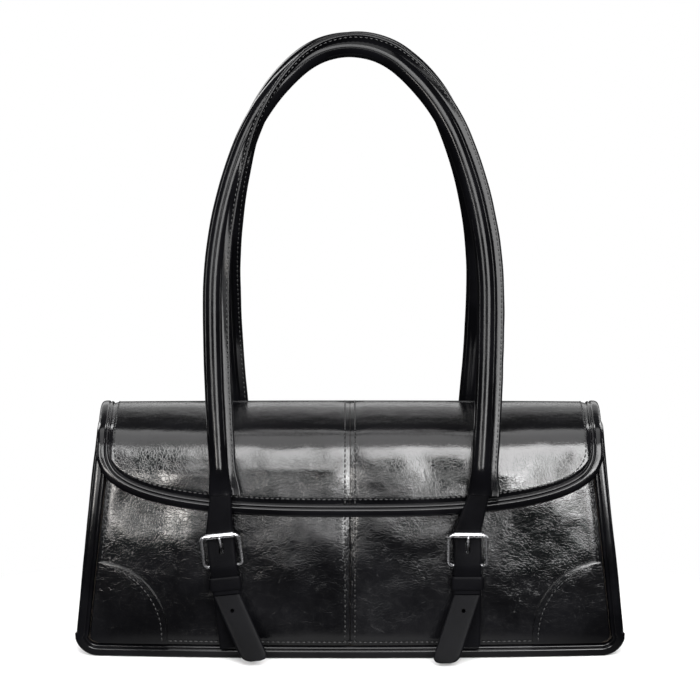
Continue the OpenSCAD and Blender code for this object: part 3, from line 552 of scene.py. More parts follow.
def stitch_tree():
    """Geometry Nodes tree that lays threads along the splines of a curve."""
    tree = bpy.data.node_groups.new("stitch_rows", "GeometryNodeTree")
    face = tree.interface
    face.new_socket("Rows", in_out="INPUT", socket_type="NodeSocketGeometry")
    for name, value in (("Pitch", 0.003), ("Stitch length", 0.0022), ("Thread radius", 0.00035)):
        s = face.new_socket(name, in_out="INPUT", socket_type="NodeSocketFloat")
        s.default_value = value
        s.subtype = "DISTANCE"
    face.new_socket("Thread", in_out="INPUT", socket_type="NodeSocketMaterial")
    face.new_socket("Stitches", in_out="OUTPUT", socket_type="NodeSocketGeometry")
    rows = tree.nodes.new("NodeGroupInput").outputs
    even = add_node(tree, "GeometryNodeResampleCurve", {"Curve": rows["Rows"], "Length": rows["Pitch"]},
                    mode="LENGTH")
    ball = add_node(tree, "GeometryNodeMeshUVSphere", {"Segments": 7, "Rings": 5, "Radius": 1.0})
    half = add_node(tree, "ShaderNodeMath", {0: rows["Stitch length"], 1: 0.5}, operation="MULTIPLY")
    size = add_node(tree, "ShaderNodeCombineXYZ", {"X": rows["Thread radius"], "Y": rows["Thread radius"],
                                                   "Z": half.outputs[0]})
    thread = add_node(tree, "GeometryNodeTransform", {"Geometry": ball.outputs["Mesh"], "Scale": size.outputs[0]})
    along = tree.nodes.new("GeometryNodeInputTangent")
    turn = add_node(tree, "FunctionNodeAlignRotationToVector", {"Vector": along.outputs[0]}, axis="Z")
    place = add_node(tree, "GeometryNodeInstanceOnPoints", {"Points": even.outputs[0], "Rotation": turn.outputs[0],
                                                            "Instance": thread.outputs[0]})
    real = add_node(tree, "GeometryNodeRealizeInstances", {"Geometry": place.outputs[0]})
    finish = add_node(tree, "GeometryNodeSetMaterial", {"Geometry": real.outputs[0], "Material": rows["Thread"]})
    tree.links.new(finish.outputs[0], tree.nodes.new("NodeGroupOutput").inputs[0])
    return tree


def sew(body, name, rows, looks):
    """Turns rows of points into one mesh of stitches that rides on a body."""
    curve = bpy.data.curves.new(name + "_rows", "CURVE")
    curve.dimensions = "3D"
    for row in rows:
        spline = curve.splines.new("POLY")
        spline.points.add(len(row) - 1)
        spline.points.foreach_set("co", [c for p in row for c in (p[0] * MM, p[1] * MM, p[2] * MM, 1)])
    guide = bpy.data.objects.new(name + "_rows", curve)
    bpy.context.scene.collection.objects.link(guide)
    tree = bpy.data.node_groups.get("stitch_rows") or stitch_tree()
    mod = guide.modifiers.new("stitches", "NODES")
    mod.node_group = tree
    values = {"Pitch": looks.stitch_pitch, "Stitch length": looks.stitch_length,
              "Thread radius": looks.thread_radius, "Thread": mat("thread")}
    for item in tree.interface.items_tree:
        if item.in_out == "INPUT" and item.name in values:
            mod[item.identifier] = values[item.name]
    bpy.context.view_layer.update()
    made = guide.evaluated_get(bpy.context.evaluated_depsgraph_get())
    mesh = bpy.data.meshes.new_from_object(made)
    bpy.data.objects.remove(guide)
    mesh.polygons.foreach_set("use_smooth", [True] * len(mesh.polygons))
    obj = bpy.data.objects.new(name, mesh)
    bpy.context.scene.collection.objects.link(obj)
    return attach(obj, body)


# Body


def mirror_x(p, side):
    return (p[0] * side, p[1], p[2])


def off_patch(x, z):
    """0 under a corner patch, 1 well clear of it."""
    e = math.hypot((width_at(z) - PANEL_LOW - x) / PATCH_REACH, (z - PANEL_LOW) / (PATCH_H - PANEL_LOW))
    return clamp((e - 1.05) / 0.25)


def wall_panel(side, back, top_z):
    """One half of the front or back wall, softly swollen, rolled in at the seams."""
    rows, cols = 56, 66
    s = 1 if back else -1

    def spot(i, j, outside):
        z = PANEL_LOW + (top_z - PANEL_LOW) * (i / rows)
        x = GAP / 2 + (outline_x(z, PANEL_LOW) - GAP / 2) * (j / cols)
        y = wall_y(x, z)
        if not outside:
            return mirror_x((x, s * (y - WALL), z), side)
        edge = min(outline_x(z, PANEL_LOW) - x, z - PANEL_LOW)
        roll = seam_roll(x - GAP / 2, 0.9) + seam_roll(edge, 0.9)
        soft = dent(side * x, s * 40, z, 1.1) * min(1, edge / 12) * min(1, x / 12) * off_patch(x, z)
        if not back:
            roll += seam_roll(top_z - z, 0.3)
            # no swelling under the straps
            soft -= max(0, soft) * clamp((24 - abs(x - STRAP_X)) / 8)
        return mirror_x((x, s * (y - roll + soft - 0.1), z), side)

    return sheet_from(rows, cols, spot, True, False)


def wall_binding(back, top_z):
    """Rolled leather round the sides and lower edge of a wall."""
    s = 1 if back else -1
    c = CORNER_R - BIND_W / 2
    low = BIND_W / 2
    foot_x = width_at(low) - BIND_W / 2
    half = [(width_at(z) - BIND_W / 2, z) for z in np.linspace(top_z, low + c, 40)]
    half += [(foot_x - c * (1 - math.cos(g)), low + c * (1 - math.sin(g)))
             for g in np.linspace(0, math.pi / 2, 14)[1:-1]]
    half += [((foot_x - c) * (1 - t), low) for t in np.linspace(0, 1, 46)[:-1]]
    path = half + [(0, low)] + [(-x, z) for x, z in reversed(half)]
    route = [(x, s * (wall_y(x, z) - WALL / 2), z) for x, z in path]
    return sweep(route, [(0, s, 0)] * len(route), bound_section(BIND_W - 0.4, BIND_T, -s * 1.6))


def gusset(side):
    """Swollen end of the bag, turned in under its lower corner."""
    rows, corner, cols = 46, 14, 34
    r = CORNER_R

    def edge_y(z):
        return wall_y(width_at(z), z) - BASE_INSET

    def spot(i, j, out):
        v = 2 * j / cols - 1
        swell = GUSSET_SWELL * (1 - v * v)
        g = math.radians(90 if i >= corner else 90 * i / corner)
        y0 = edge_y(r) * v
        top = rim_z(width_at(r), y0)
        z = r + (top - r) * (i - corner) / rows if i >= corner else r - (r - out) * math.cos(g)
        soft = 0 if out else dent(side * 160, y0, z, 0.9) * (1 - v * v) - seam_roll((1 - abs(v)) * 40, 0.7)
        if i >= corner:
            x = width_at(z) + swell - out + soft
        else:
            x = (width_at(z) - r + GAP * (1 - math.sin(g)) + (r - out + swell * math.sin(g)) * math.sin(g)
                 + soft * math.sin(g))
        return mirror_x((x, edge_y(z) * v, z), side)

    return sheet_from(rows + corner, cols, spot, 0, WALL)


def plan(z, inset):
    """Outline of the body at a height, seen from above."""
    steps = 30
    w = outline_x(z, inset)
    front = [(w * i / steps, inset - wall_y(w * i / steps, z)) for i in range(-steps, steps + 1)]
    return front + [(x, -y) for x, y in reversed(front)]


def raised(outline, z):
    """Outline lifted to a height, its upper part stretched to follow the rim."""
    share = max(0, (2 * z - FRONT_H) / (2 * MOUTH_H - FRONT_H))
    return [(x, y, z * (1 + (rim_z(x, y) / MOUTH_H - 1) * share)) for x, y in outline]


def corner_patch(side, back):
    """Rounded patch on a lower corner of a wall, and the stitch row inside its curve."""
    rows, cols = 26, 18
    s = 1 if back else -1
    low = PANEL_LOW + 0.8

    def inner_x(z):
        return width_at(z) - low - PATCH_REACH * (1 - min(1, (z - low) / (PATCH_H - low)) ** 2) ** 0.55

    def spot(i, j, out):
        z = low + (PATCH_H - low) * math.sin(math.pi / 2 * i / rows) * 0.995
        x0, x1 = inner_x(z), outline_x(z, low)
        x = x0 + (x1 - x0) * j / cols
        swell = 0.35 * math.sin(math.pi * j / cols) * math.sin(math.pi * i / rows) if out > 1 else 0
        return mirror_x((x, s * (wall_y(x, z) + out + swell), z), side)

    row = []
    for t in np.linspace(0, 1, 61):
        z = low + 3 + (PATCH_H - low - 6) * math.sin(math.pi / 2 * t)
        x = inner_x(min(z + 1.2, PATCH_H)) + 3.0
        if x < outline_x(z, low) - 1:
            row.append(mirror_x((x, s * (wall_y(x, z) + GAP + PATCH_T + 0.4), z), side))
    return sheet_from(rows, cols, spot, GAP + PATCH_T + 0.3, -0.4), row


class BAG_OT_body(bpy.types.Operator):
    """Builds the leather body: walls, bound seams, gussets, corner patches, base and lining."""
    bl_idname = "bag.body"
    bl_label = "Body"

    def execute(self, context):
        for back, where, top in ((False, "front", FRONT_H), (True, "back", MOUTH_H)):
            s = 1 if back else -1
            for side, hand in SIDES:
                bevel(add_piece(f"{where}_wall_{hand}", wall_panel(side, back, top), "glazed", "bag",
                                f"{where}_panel_{hand}"), 0.6)
                patch, row = corner_patch(side, back)
                bevel(add_piece(f"{where}_corner_{hand}", patch, "glazed", "bag", f"{where}_patch_{hand}"), 0.5)
                STITCHES["bag"].append(row)
                STITCHES["bag"].append([(side * SEAM_ROW, s * (wall_y(SEAM_ROW, z) + 0.05), z)
                                        for z in np.linspace(PANEL_LOW + 2.5, top - 1, 60)])
            add_piece(f"{where}_bound_seam", wall_binding(back, top), "bound", "bag", f"{where}_binding")
            inset = PANEL_LOW + EDGE_ROW
            half = [(outline_x(z, inset), z) for z in np.linspace(top - 2, inset, 60)]
            half += [(x, inset) for x in np.linspace(outline_x(inset, inset) - 1, 0, 50)]
            for side, _ in SIDES:
                STITCHES["bag"].append([(side * x, s * (wall_y(x, z) + 0.02), z) for x, z in half])
        for side, hand in SIDES:
            bevel(add_piece(f"end_gusset_{hand}", gusset(side), "glazed", "bag", f"gusset_{hand}"), 0.6)
        rings = [[(x, y, z) for x, y in plan(0, BASE_INSET + d)]
                 for z, d in ((BASE_T, 0.6), (BASE_T - 0.5, 0), (0.8, 0), (0.15, 0.5), (0, 1.4))]
        add_piece("base_leather", loft(rings), "glazed", "bag", "base_panel")
        self.inside()
        return {"FINISHED"}

    def inside(self):
        facing_inset = WALL + 0.6 + 2 * GAP
        low = BASE_T + GAP + BOARD_T + GAP

        def inset_at(z):
            return facing_inset + 1.6 * max(0, 1 - z / (2 * TUCK_H))

        levels = np.linspace(low, MOUTH_H - FACING_H - GAP, 30)
        outer = [raised(plan(z, inset_at(z)), z) for z in levels]
        inner = [raised(plan(z, inset_at(z) + LINING_T), max(z, low + LINING_T)) for z in levels[::-1]]
        for ring in inner:
            for k, (x, y, z) in enumerate(ring):
                push = 0.5 * (1 + soft_noise(x, y, z, 24, 2.0))
                ring[k] = (x - math.copysign(push * min(1, abs(x) / 60), x), y - math.copysign(push, y), z)
        add_piece("cloth_lining", loft(outer + inner), "lining", "bag", "lining")
        zs = [MOUTH_H - FACING_H * (1 - t) for t in np.linspace(0, 1, 12)]
        rings = [raised(plan(z, facing_inset), z) for z in zs]
        rings += [raised(plan(z, facing_inset + FACING_T), z) for z in zs[::-1]]
        bevel(add_piece("mouth_band", loft(rings, closed=True), "bound", "bag", "mouth_facing"), 0.3)
        for node, key in (("base_board", "board"), ("front_magnet", "nickel"), ("front_magnet_washer", "nickel"),
                          ("flap_magnet", "nickel")):
            finish_node(node, key)


def finish_node(node, key):
    """Gives a rigid node of the frame its finish."""
    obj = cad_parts[node]
    obj.data.materials.clear()
    obj.data.materials.append(mat(key))
    for p in obj.data.polygons:
        p.material_index = 0


# Flap


class BAG_OT_flap(bpy.types.Operator):
    """Builds the curved flap: two leather halves, bound edge, lining and the fold at the back."""
    bl_idname = "bag.flap"
    bl_label = "Flap"

    def sheet(self, side, low, high, apart, worked):
        """Half a flap, or the whole of it for side 0; a worked sheet is swollen and rolled in at its seams."""
        rows, cols = 84, 74
        inset = FLAP_INSET - FLAP_TUCKED
        halves = [(j, side) for j in range(cols + 1)]
        if not side:
            halves = [(j, -1) for j in range(cols, 0, -1)] + [(j, 1) for j in range(cols + 1)]

        def spot(i, k, top):
            j, sgn = halves[k]
            out = high if top else low
            edge_x, edge_z = flap_edge(90 * j / cols, inset)
            q = flap_q(edge_z) * i / rows
            share = edge_x / (FLAP_HALF - inset)
            x = apart / 2 + (flap_side(q) - inset - apart / 2) * share
            if top and worked:
                down = (1 - i / rows) * flap_q(edge_z) * 30
                near = min((1 - share) * 148, down if i > rows * 0.5 else 99)
                amount = 1.4 * min(1, max(0.22, (q - 0.9) / 0.5))
                soft = (dent(sgn * x, q * 30, 50, amount) * min(1, near / 14) * min(1, x / 12)
                        * min(1, q / 0.3))
                # no swelling beside the rear handle
                beside = clamp((20 - abs(x - REAR_FOOT - 6)) / 6) * clamp((1.6 - q) / 0.3)
                out += soft - max(0, soft) * beside - 0.25 * beside
                out -= seam_roll(x - apart / 2, 0.8) + seam_roll(near, 0.9)
            return mirror_x(flap_at(x, q, out), sgn)

        return sheet_from(rows, len(halves) - 1, spot, True, False)

    def edge_path(self, inset):
        """Line round the flap inside its edge, as (x, q) from the back left to the back right."""
        half = [(flap_side(q) - inset, q) for q in np.linspace(0, flap_q(FLAP_TURN), 70)[:-1]]
        for g in np.linspace(90, 0, 90):
            x, z = flap_edge(g, inset)
            half.append((x, flap_q(z)))
        return half[:-1] + [(0, half[-1][1])] + [(-x, q) for x, q in reversed(half[:-1])]

    def execute(self, context):
        top = FLAP_UNDER + FLAP_T
        for side, hand in SIDES:
            half = self.sheet(side, FLAP_UNDER, top, GAP, True)
            bevel(add_piece(f"flap_leather_{hand}", half, "glazed", "flap", f"flap_{hand}"), 0.5)
            STITCHES["flap"].append([(side * SEAM_ROW, *flap_at(SEAM_ROW, q, top + 0.02)[1:])
                                     for q in np.linspace(0.08, flap_q(FLAP_LOW + FLAP_INSET) - 0.02, 120)])
        add_piece("flap_cloth", self.sheet(0, 0.0, FLAP_LINING_T, 0, False), "lining", "flap", "flap_lining")
        mid = FLAP_BIND_T / 2
        path = self.edge_path(BIND_W / 2)
        route = [flap_at(x, q, mid) for x, q in path]
        normals = [np.subtract(flap_at(x, q, mid + 1), p) for (x, q), p in zip(path, route)]
        edge = sweep(route, normals, bound_section(BIND_W - 0.4, FLAP_BIND_T, 1.6))
        add_piece("flap_bound_edge", edge, "bound", "flap", "flap_binding")
        STITCHES["flap"].append([flap_at(x, q, top + 0.1) for x, q in self.edge_path(FLAP_INSET + 2.2) if q > 0.04])
        self.back_fold()
        return {"FINISHED"}

    def back_fold(self):
        """Sewn band on the back wall that turns over into the flap."""
        cols = 120
        path = [("wall", z) for z in np.linspace(MOUTH_H - BAND_H, FLAP_TOP - 1.5, 9)]
        path += [("turn", a) for a in np.linspace(0, 90, 9)[1:]]
        path += [("top", q) for q in np.linspace(0.02, 0.1, 5)]
        high = FLAP_UNDER + FLAP_T + 0.25

        def spot(i, j, inward):
            kind, v = path[i]
            x = (2 * j / cols - 1) * (MOUTH_W / 2 - BIND_W - 0.5)
            if kind == "wall":
                return (x, wall_y(x, min(v, MOUTH_H)) + GAP + FLAP_T - inward, v)
            if kind == "turn":
                r = FOLD_R - inward
                a = math.radians(v)
                return (x, flap_back(x) - FOLD_R + r * math.cos(a),
                        FLAP_TOP + high - FOLD_R + r * math.sin(a) + 0.1)
            return flap_at(x, v + 0.05, high - inward)

        obj = add_piece("flap_back_fold", sheet_from(len(path) - 1, cols, spot, 0, FLAP_T), "glazed", None,
                        "flap_back_band")
        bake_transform(obj)
        z = MOUTH_H - BAND_H + 2.2
        STITCHES["bag"].append([(x, wall_y(x, z) + GAP + FLAP_T + 0.1, z) for x in np.linspace(-138, 138, 120)])


# Handles


def arch_radii(reach):
    """Radii of the shoulder and side arcs that join the crown to a leg at this reach."""
    ca, sa = math.radians(CROWN_A), math.radians(SHOULDER_A)
    k1 = reach - CROWN_R * math.sin(ca)
    k2 = ARCH_RISE - CROWN_R * (1 - math.cos(ca))
    a, b = math.sin(sa) - math.sin(ca), 1 - math.sin(sa)
    c, d = math.cos(ca) - math.cos(sa), math.cos(sa)
    det = a * d - b * c
    return (k1 * d - b * k2) / det, (a * k2 - k1 * c) / det


def arch_at(reach, turn):
    """Point of the arch's right half, turn from 0 at the crown to 90 at the leg."""
    r = arch_radii(reach)
    ca, sa, t = math.radians(CROWN_A), math.radians(SHOULDER_A), math.radians(turn)
    c1 = np.array([0, ARCH_RISE - CROWN_R])
    c2 = c1 - (r[0] - CROWN_R) * np.array([math.sin(ca), math.cos(ca)])
    c3 = c2 - (r[1] - r[0]) * np.array([math.sin(sa), math.cos(sa)])
    c, radius = (c1, CROWN_R) if turn <= CROWN_A else (c2, r[0]) if turn <= SHOULDER_A else (c3, r[1])
    return c + radius * np.array([math.sin(t), math.cos(t)])


def handle_route(reach, foot_x, leg):
    """Line of a handle in its own upright plane, from the left foot to the right one."""
    half = [np.array([foot_x + (reach - foot_x) * math.sin(math.pi / 2 * s), leg * s])
            for s in np.linspace(0, 1, LEG_POINTS + 1)[:-1]]
    half += [arch_at(reach, 90 * (1 - t)) + np.array([0, leg]) for t in np.linspace(0, 1, ARCH_POINTS)]
    left = [(-p[0], 0, p[1]) for p in half]
    return np.array(left + [(-x, 0, z) for x, _, z in reversed(left[:-1])])


def share_of_steps(s, leg):
    """Share of the solids' route steps for a share of the length, where a leg takes up a given share."""
    if s < leg:
        return s / leg * LEG_SHARE
    if s > 1 - leg:
        return 1 - (1 - s) / leg * LEG_SHARE
    return LEG_SHARE + (s - leg) / (1 - 2 * leg) * (1 - 2 * LEG_SHARE)


def seam_directions(route):
    """Direction of the stitched seam at each point: to the right on both legs, forward over the top."""
    d = lengths(route)
    forward = np.array([0, -1, 0])
    out = []
    for t, s in zip(tangents(route), d / d[-1]):
        inward = unit(np.cross(t, forward))
        turned = clamp((share_of_steps(s, d[LEG_POINTS] / d[-1]) - 0.1) / 0.6)
        g = math.radians(90 * (1 - math.cos(math.pi * turned)))
        out.append(inward * math.cos(g) + forward * math.sin(g))
    return out


def handle_section():
    """Round section with its stitched flange, in millimetres towards the seam and across it."""
    half_t = SEAM_T / 2
    tip = HANDLE_R + SEAM_W
    out = [(HANDLE_R * math.cos(g), HANDLE_R * math.sin(g)) for g in np.radians(np.linspace(16, 344, 49))]
    out.append((HANDLE_R + 0.9, -half_t * 1.05))
    out += [(tip - half_t + half_t * math.cos(a), half_t * math.sin(a))
            for a in np.radians(np.linspace(-90, 90, 9))]
    out.append((HANDLE_R + 0.9, half_t * 1.05))
    return out


class BAG_OT_handles(bpy.types.Operator):
    """Rolls the two leather handles round their cords, each with its stitched seam."""
    bl_idname = "bag.handles"
    bl_label = "Handles"

    def execute(self, context):
        for name, reach, foot, leg, lean, start in (
                ("front", FRONT_REACH, FRONT_FOOT, FRONT_LEG, -FRONT_LEAN, (0, FRONT_FOOT_Y, FOOT_TOP)),
                ("rear", REAR_REACH, REAR_FOOT, REAR_LEG, REAR_LEAN, (0, REAR_START_Y, REAR_START))):
            g = math.radians(lean)
            turn = np.array([[1, 0, 0], [0, math.cos(g), -math.sin(g)], [0, math.sin(g), math.cos(g)]])
            route = handle_route(reach, foot, leg)
            self.cover(name, route, turn, start)
            self.cord(name, route, turn, start)
        return {"FINISHED"}

    def cover(self, name, route, turn, start):
        """Rolled leather, pressed flat towards both feet."""
        far = lengths(route)
        section = handle_section()
        rings, rows = [], ([], [])
        for p, t, u, d in zip(route, tangents(route), seam_directions(route), far):
            v = np.cross(t, u)
            end = min(d, far[-1] - d)
            flat = max(0.0, 1 - end / FLAT_END)
            flat = flat * flat * (3 - 2 * flat)
            wobble = 1 + 0.02 * soft_noise(d, 0, 0 if name == "front" else 50, 14)
            pressed = wobble * np.array([1 + 0.18 * flat, 1 - 0.62 * flat, 1])
            rings.append([turn @ (p + (u * a + v * b) * pressed) + start for a, b in section])
            if end > 10:
                for row, face in zip(rows, (-1, 1)):
                    sewn = p + u * (HANDLE_R + SEAM_W - 1.7) + v * face * (SEAM_T / 2 + 0.05)
                    row.append(turn @ sewn + start)
        body = f"{name}_handle"
        add_piece(f"{name}_rolled_handle", loft(rings), "rolled", body, f"{name}_handle_wrap")
        STITCHES[body] += list(rows)

    def cord(self, name, route, turn, start):
        """Twisted cord inside the cover, short of its flat ends."""
        far = lengths(route)
        radius = HANDLE_R - WRAP_T - 0.4
        u = np.array([0, 1, 0])
        rings = []
        for p, t, d in zip(route, tangents(route), far):
            if CORD_START < d < far[-1] - CORD_START:
                v = np.cross(t, u)
                ring = []
                for g in circle(36):
                    r = radius * (0.72 + 0.06 * abs(math.sin(1.5 * g + d / 7)))
                    ring.append(turn @ (p + u * r * math.cos(g) + v * r * math.sin(g)) + start)
                rings.append(ring)
        add_piece(f"{name}_filler_cord", loft(rings), "cotton", f"{name}_handle", f"{name}_handle_cord")


# Straps and buckles


def on_strap(side, p):
    """Puts a point of a strap's stack, drawn about x = 0, on one side."""
    a = math.radians(LEAN[side])
    x, z = p[0], p[2] - FOOT_Z
    return (side * STRAP_X + x * math.cos(a) + z * math.sin(a), p[1], FOOT_Z - x * math.sin(a) + z * math.cos(a))


def strapped(side, rings):
    return loft([[on_strap(side, p) for p in ring] for ring in rings])


def ribbon(line, widths, t, count, shifts=((0, 0), (1, 0))):
    """Leather strip along a line in y and z, its widths and sideways shifts as (share, size) pairs."""
    route = smooth_route(line, count)
    share = lengths(route) / lengths(route)[-1]
    ws, xs = (np.interp(share, *zip(*pairs)) for pairs in (widths, shifts))
    rings = []
    for (y, z), along, w, x in zip(route, tangents(route), ws, xs):
        n = np.array([0, -along[1], along[0]])
        rings.append([np.array([x + u, y, z]) + n * v for u, v in flat_section(w, t)])
    return rings


def cut_hole(obj, centre, radius, stretch=0.0):
    """Punches a round or long hole through a strip, from front to back."""
    sides = 28
    rim = [(radius * math.cos(g), radius * math.sin(g) + math.copysign(stretch, math.sin(g)))
           for g in circle(sides)]
    bm = bmesh.new()
    front, back = ([bm.verts.new(((centre[0] + x) * MM, (centre[1] + y) * MM, (centre[2] + z) * MM))
                    for x, z in rim] for y in (-PUNCH_REACH, PUNCH_REACH))
    bm.faces.new(front)
    bm.faces.new(back[::-1])
    for k in range(sides):
        bm.faces.new((front[k], back[k], back[(k + 1) % sides], front[(k + 1) % sides]))
    bmesh.ops.recalc_face_normals(bm, faces=bm.faces)
    mesh = bpy.data.meshes.new("punch")
    bm.to_mesh(mesh)
    bm.free()
    punch = bpy.data.objects.new("punch", mesh)
    bpy.context.scene.collection.objects.link(punch)
    m = obj.modifiers.new("hole", "BOOLEAN")
    m.object = punch
    m.solver = "EXACT"
    m.operation = "DIFFERENCE"
    bpy.context.view_layer.update()
    made = bpy.data.meshes.new_from_object(obj.evaluated_get(bpy.context.evaluated_depsgraph_get()))
    obj.modifiers.remove(m)
    obj.data = made
    made.set_sharp_from_angle(angle=math.radians(35))
    bpy.data.objects.remove(punch)


def prong_points():
    """Where a prong leaves the heel bar, where its tip lies on the roller, and how high it meets the tongue."""
    bend = (HEEL_Y - 1.3, HEEL_H + 9)
    to = (ROLLER_Y - bend[0], ROLLER_Z - bend[1])
    reach = math.hypot(*to)
    off = math.asin((ROLLER_R + PRONG_R + 0.15) / reach)
    ang = math.atan2(-to[0], to[1]) + off
    length = reach * math.cos(off) + 1
    tip = (bend[0] - length * math.sin(ang), bend[1] + length * math.cos(ang))
    return bend, tip, bend[1] + (bend[0] - (TONGUE_HEEL_Y + TONGUE_ROLLER_Y) / 2) / math.tan(ang)


class BAG_OT_straps(bpy.types.Operator):
    """Lays the strap stacks: sewn straps, folded ends, tongues, keepers, tails and the rear tabs."""
    bl_idname = "bag.straps"
    bl_label = "Straps"

    def execute(self, context):
        for side, hand in SIDES:
            self.strap(side, hand)
            self.tongue(side, hand)
            self.buckle(side, hand)
            self.keeper(side, hand)
            self.tail(side, hand)
            self.rear(side, hand)
        return {"FINISHED"}

    def strap(self, side, hand):
        """Strap sewn to the wall, and the folded end that holds the buckle's heel bar."""
        even = [(0, STRAP_W), (1, STRAP_W)]
        y = -STRAP_Y - STRAP_LAYER
        sewn = ribbon([(y, FOOT_Z), (y, FOOT_Z + 12), (y, TAIL_Z)], even, 2 * STRAP_LAYER, 30)
        add_piece(f"sewn_strap_{hand}", strapped(side, sewn), "strap", "bag", f"base_strap_{hand}")
        r = WIRE_R + RUNNING + STRAP_LAYER / 2
        back_y, front_y = -STRAP_Y - STRAP_LAYER / 2, -STRAP_Y - 1.5 * STRAP_LAYER
        line = [(back_y, TAIL_Z + 0.4), (back_y, HEEL_H - 6), (back_y - 0.2, HEEL_H - 3)]
        line += [(HEEL_Y + r * math.cos(a), HEEL_H + r * math.sin(a)) for a in np.radians(np.linspace(-20, 200, 9))]
        line += [(front_y - 0.3, HEEL_H - 3.6), (front_y, HEEL_H - 7), (front_y, TAIL_Z + 0.4)]
        folded = ribbon(line, even, STRAP_LAYER, 90)
        add_piece(f"folded_strap_{hand}", strapped(side, folded), "strap", "front_handle", f"buckle_strap_{hand}")

    def tongue(self, side, hand):
        """Tongue from the handle behind the roller, over the heel bar and into the keeper."""
        top_x = side * FRONT_FOOT - side * STRAP_X - (FOOT_TOP - FOOT_Z) * math.tan(math.radians(LEAN[side]))
        line = [(TONGUE_Y, TAIL_Z + 0.5), (TONGUE_Y, HEEL_H - 9), (TONGUE_Y - 0.5, HEEL_H - 5.5),
                (TONGUE_HEEL_Y, HEEL_H - 1), (TONGUE_HEEL_Y, HEEL_H + 4), (TONGUE_ROLLER_Y - 0.3, ROLLER_Z - 5),
                (TONGUE_ROLLER_Y, ROLLER_Z), (TONGUE_ROLLER_Y + 0.2, ROLLER_Z + 5), (FRONT_FOOT_Y, FOOT_TOP - 1),
                (FRONT_FOOT_Y + 0.5, FOOT_TOP + 3)]
        rings = ribbon(line, [(0, STRAP_W), (0.6, STRAP_W), (0.9, STRAP_W - 3), (1, STRAP_W - 4)], TONGUE_T, 90,
                       [(0, 0), (0.62, 0), (0.97, top_x), (1, top_x)])
        obj = add_piece(f"strap_tongue_{hand}", strapped(side, rings), "strap", "front_handle", f"tongue_{hand}")
        hole_z = prong_points()[2]
        cut_hole(obj, on_strap(side, (0, -56, hole_z)), PRONG_R + 0.5, HOLE_STRETCH)

    def buckle(self, side, hand):
        """Wire frame, turning roller and prong."""
        c, s = math.cos(TILT), math.sin(TILT)

        def heel(shape):
            points, faces = shape
            return [on_strap(side, (x, HEEL_Y + y * c - z * s, HEEL_H + y * s + z * c))
                    for x, y, z in points], faces

        loop = [(x, 0, z) for x, z in rounded_loop(BUCKLE_W / 2 - WIRE_R, 0, BUCKLE_L, BUCKLE_CORNER, 12, 1.5)]
        wire = [(WIRE_R * math.cos(g), WIRE_R * math.sin(g)) for g in circle(20)]
        add_piece(f"nickel_frame_{hand}", heel(sweep(loop, [(0, -1, 0)] * len(loop), wire, closed=True)),
                  "nickel", "front_handle", f"buckle_frame_{hand}")
        half = (STRAP_W + 0.2) / 2
        bore = WIRE_R + RUNNING
        profile = [(-half, bore), (-half, ROLLER_R - 0.25), (-half + 0.1, ROLLER_R - 0.08), (-half + 0.3, ROLLER_R),
                   (half - 0.3, ROLLER_R), (half - 0.1, ROLLER_R - 0.08), (half, ROLLER_R - 0.25), (half, bore)]
        rings = [[(x, r * math.cos(g), BUCKLE_L + r * math.sin(g)) for x, r in profile] for g in circle(40)]
        add_piece(f"nickel_roller_{hand}", heel(loft(rings, closed=True)), "nickel", f"roller_{hand}",
                  f"buckle_roller_{hand}")
        self.prong(side, hand)

    def prong(self, side, hand):
        count, thin, eye_end = 70, 0.62, 26
        bend, tip, _ = prong_points()
        eye = WIRE_R + RUNNING + PRONG_R * thin
        line = [(HEEL_Y + eye * math.cos(a), HEEL_H + eye * math.sin(a))
                for a in np.radians(np.linspace(-200, 60, 16))]
        line += [(bend[0] + 0.2, bend[1] - 4), bend, ((bend[0] + tip[0]) / 2, (bend[1] + tip[1]) / 2), tip]
        route = smooth_route(line, count)
        rings = []
        for i, (p, t) in enumerate(zip(route, tangents(route))):
            n = np.array([0, -t[1], t[0]])
            r = PRONG_R * (0.55 + 0.45 * min(1, (count - 1 - i) / 7))
            # flatter round the heel bar than along the shaft
            depth = min(1, thin + max(0, i - eye_end) / 20 * (1 - thin))
            rings.append([np.array([r * math.cos(g), *p]) + n * r * depth * math.sin(g) for g in circle(18)])
        add_piece(f"nickel_prong_{hand}", strapped(side, rings), "nickel", f"prong_{hand}", f"buckle_prong_{hand}")

    def keeper(self, side, hand):
        """Closed leather loop round the strap and the tongue."""
        low = TONGUE_Y - TONGUE_T / 2 - KEEPER_GAP - KEEPER_T / 2
        high = -STRAP_Y + KEEPER_GAP + KEEPER_T / 2
        half = (STRAP_W + 2 * KEEPER_GAP) / 2 + KEEPER_T / 2
        loop = [(x, y, KEEPER_Z + KEEPER_H / 2) for x, y in rounded_loop(half, low, high, KEEPER_CORNER, 7, 1.2)]
        section = flat_section(KEEPER_H, KEEPER_T, 16, 0.35)
        up = np.array([0, 0, 1])
        rings = [[on_strap(side, np.array(p) + up * u + np.cross(t, up) * v) for u, v in section]
                 for p, t in zip(loop, tangents(loop, True))]
        add_piece(f"keeper_loop_{hand}", loft(rings, closed=True), "strap", f"keeper_{hand}", f"keeper_{hand}")

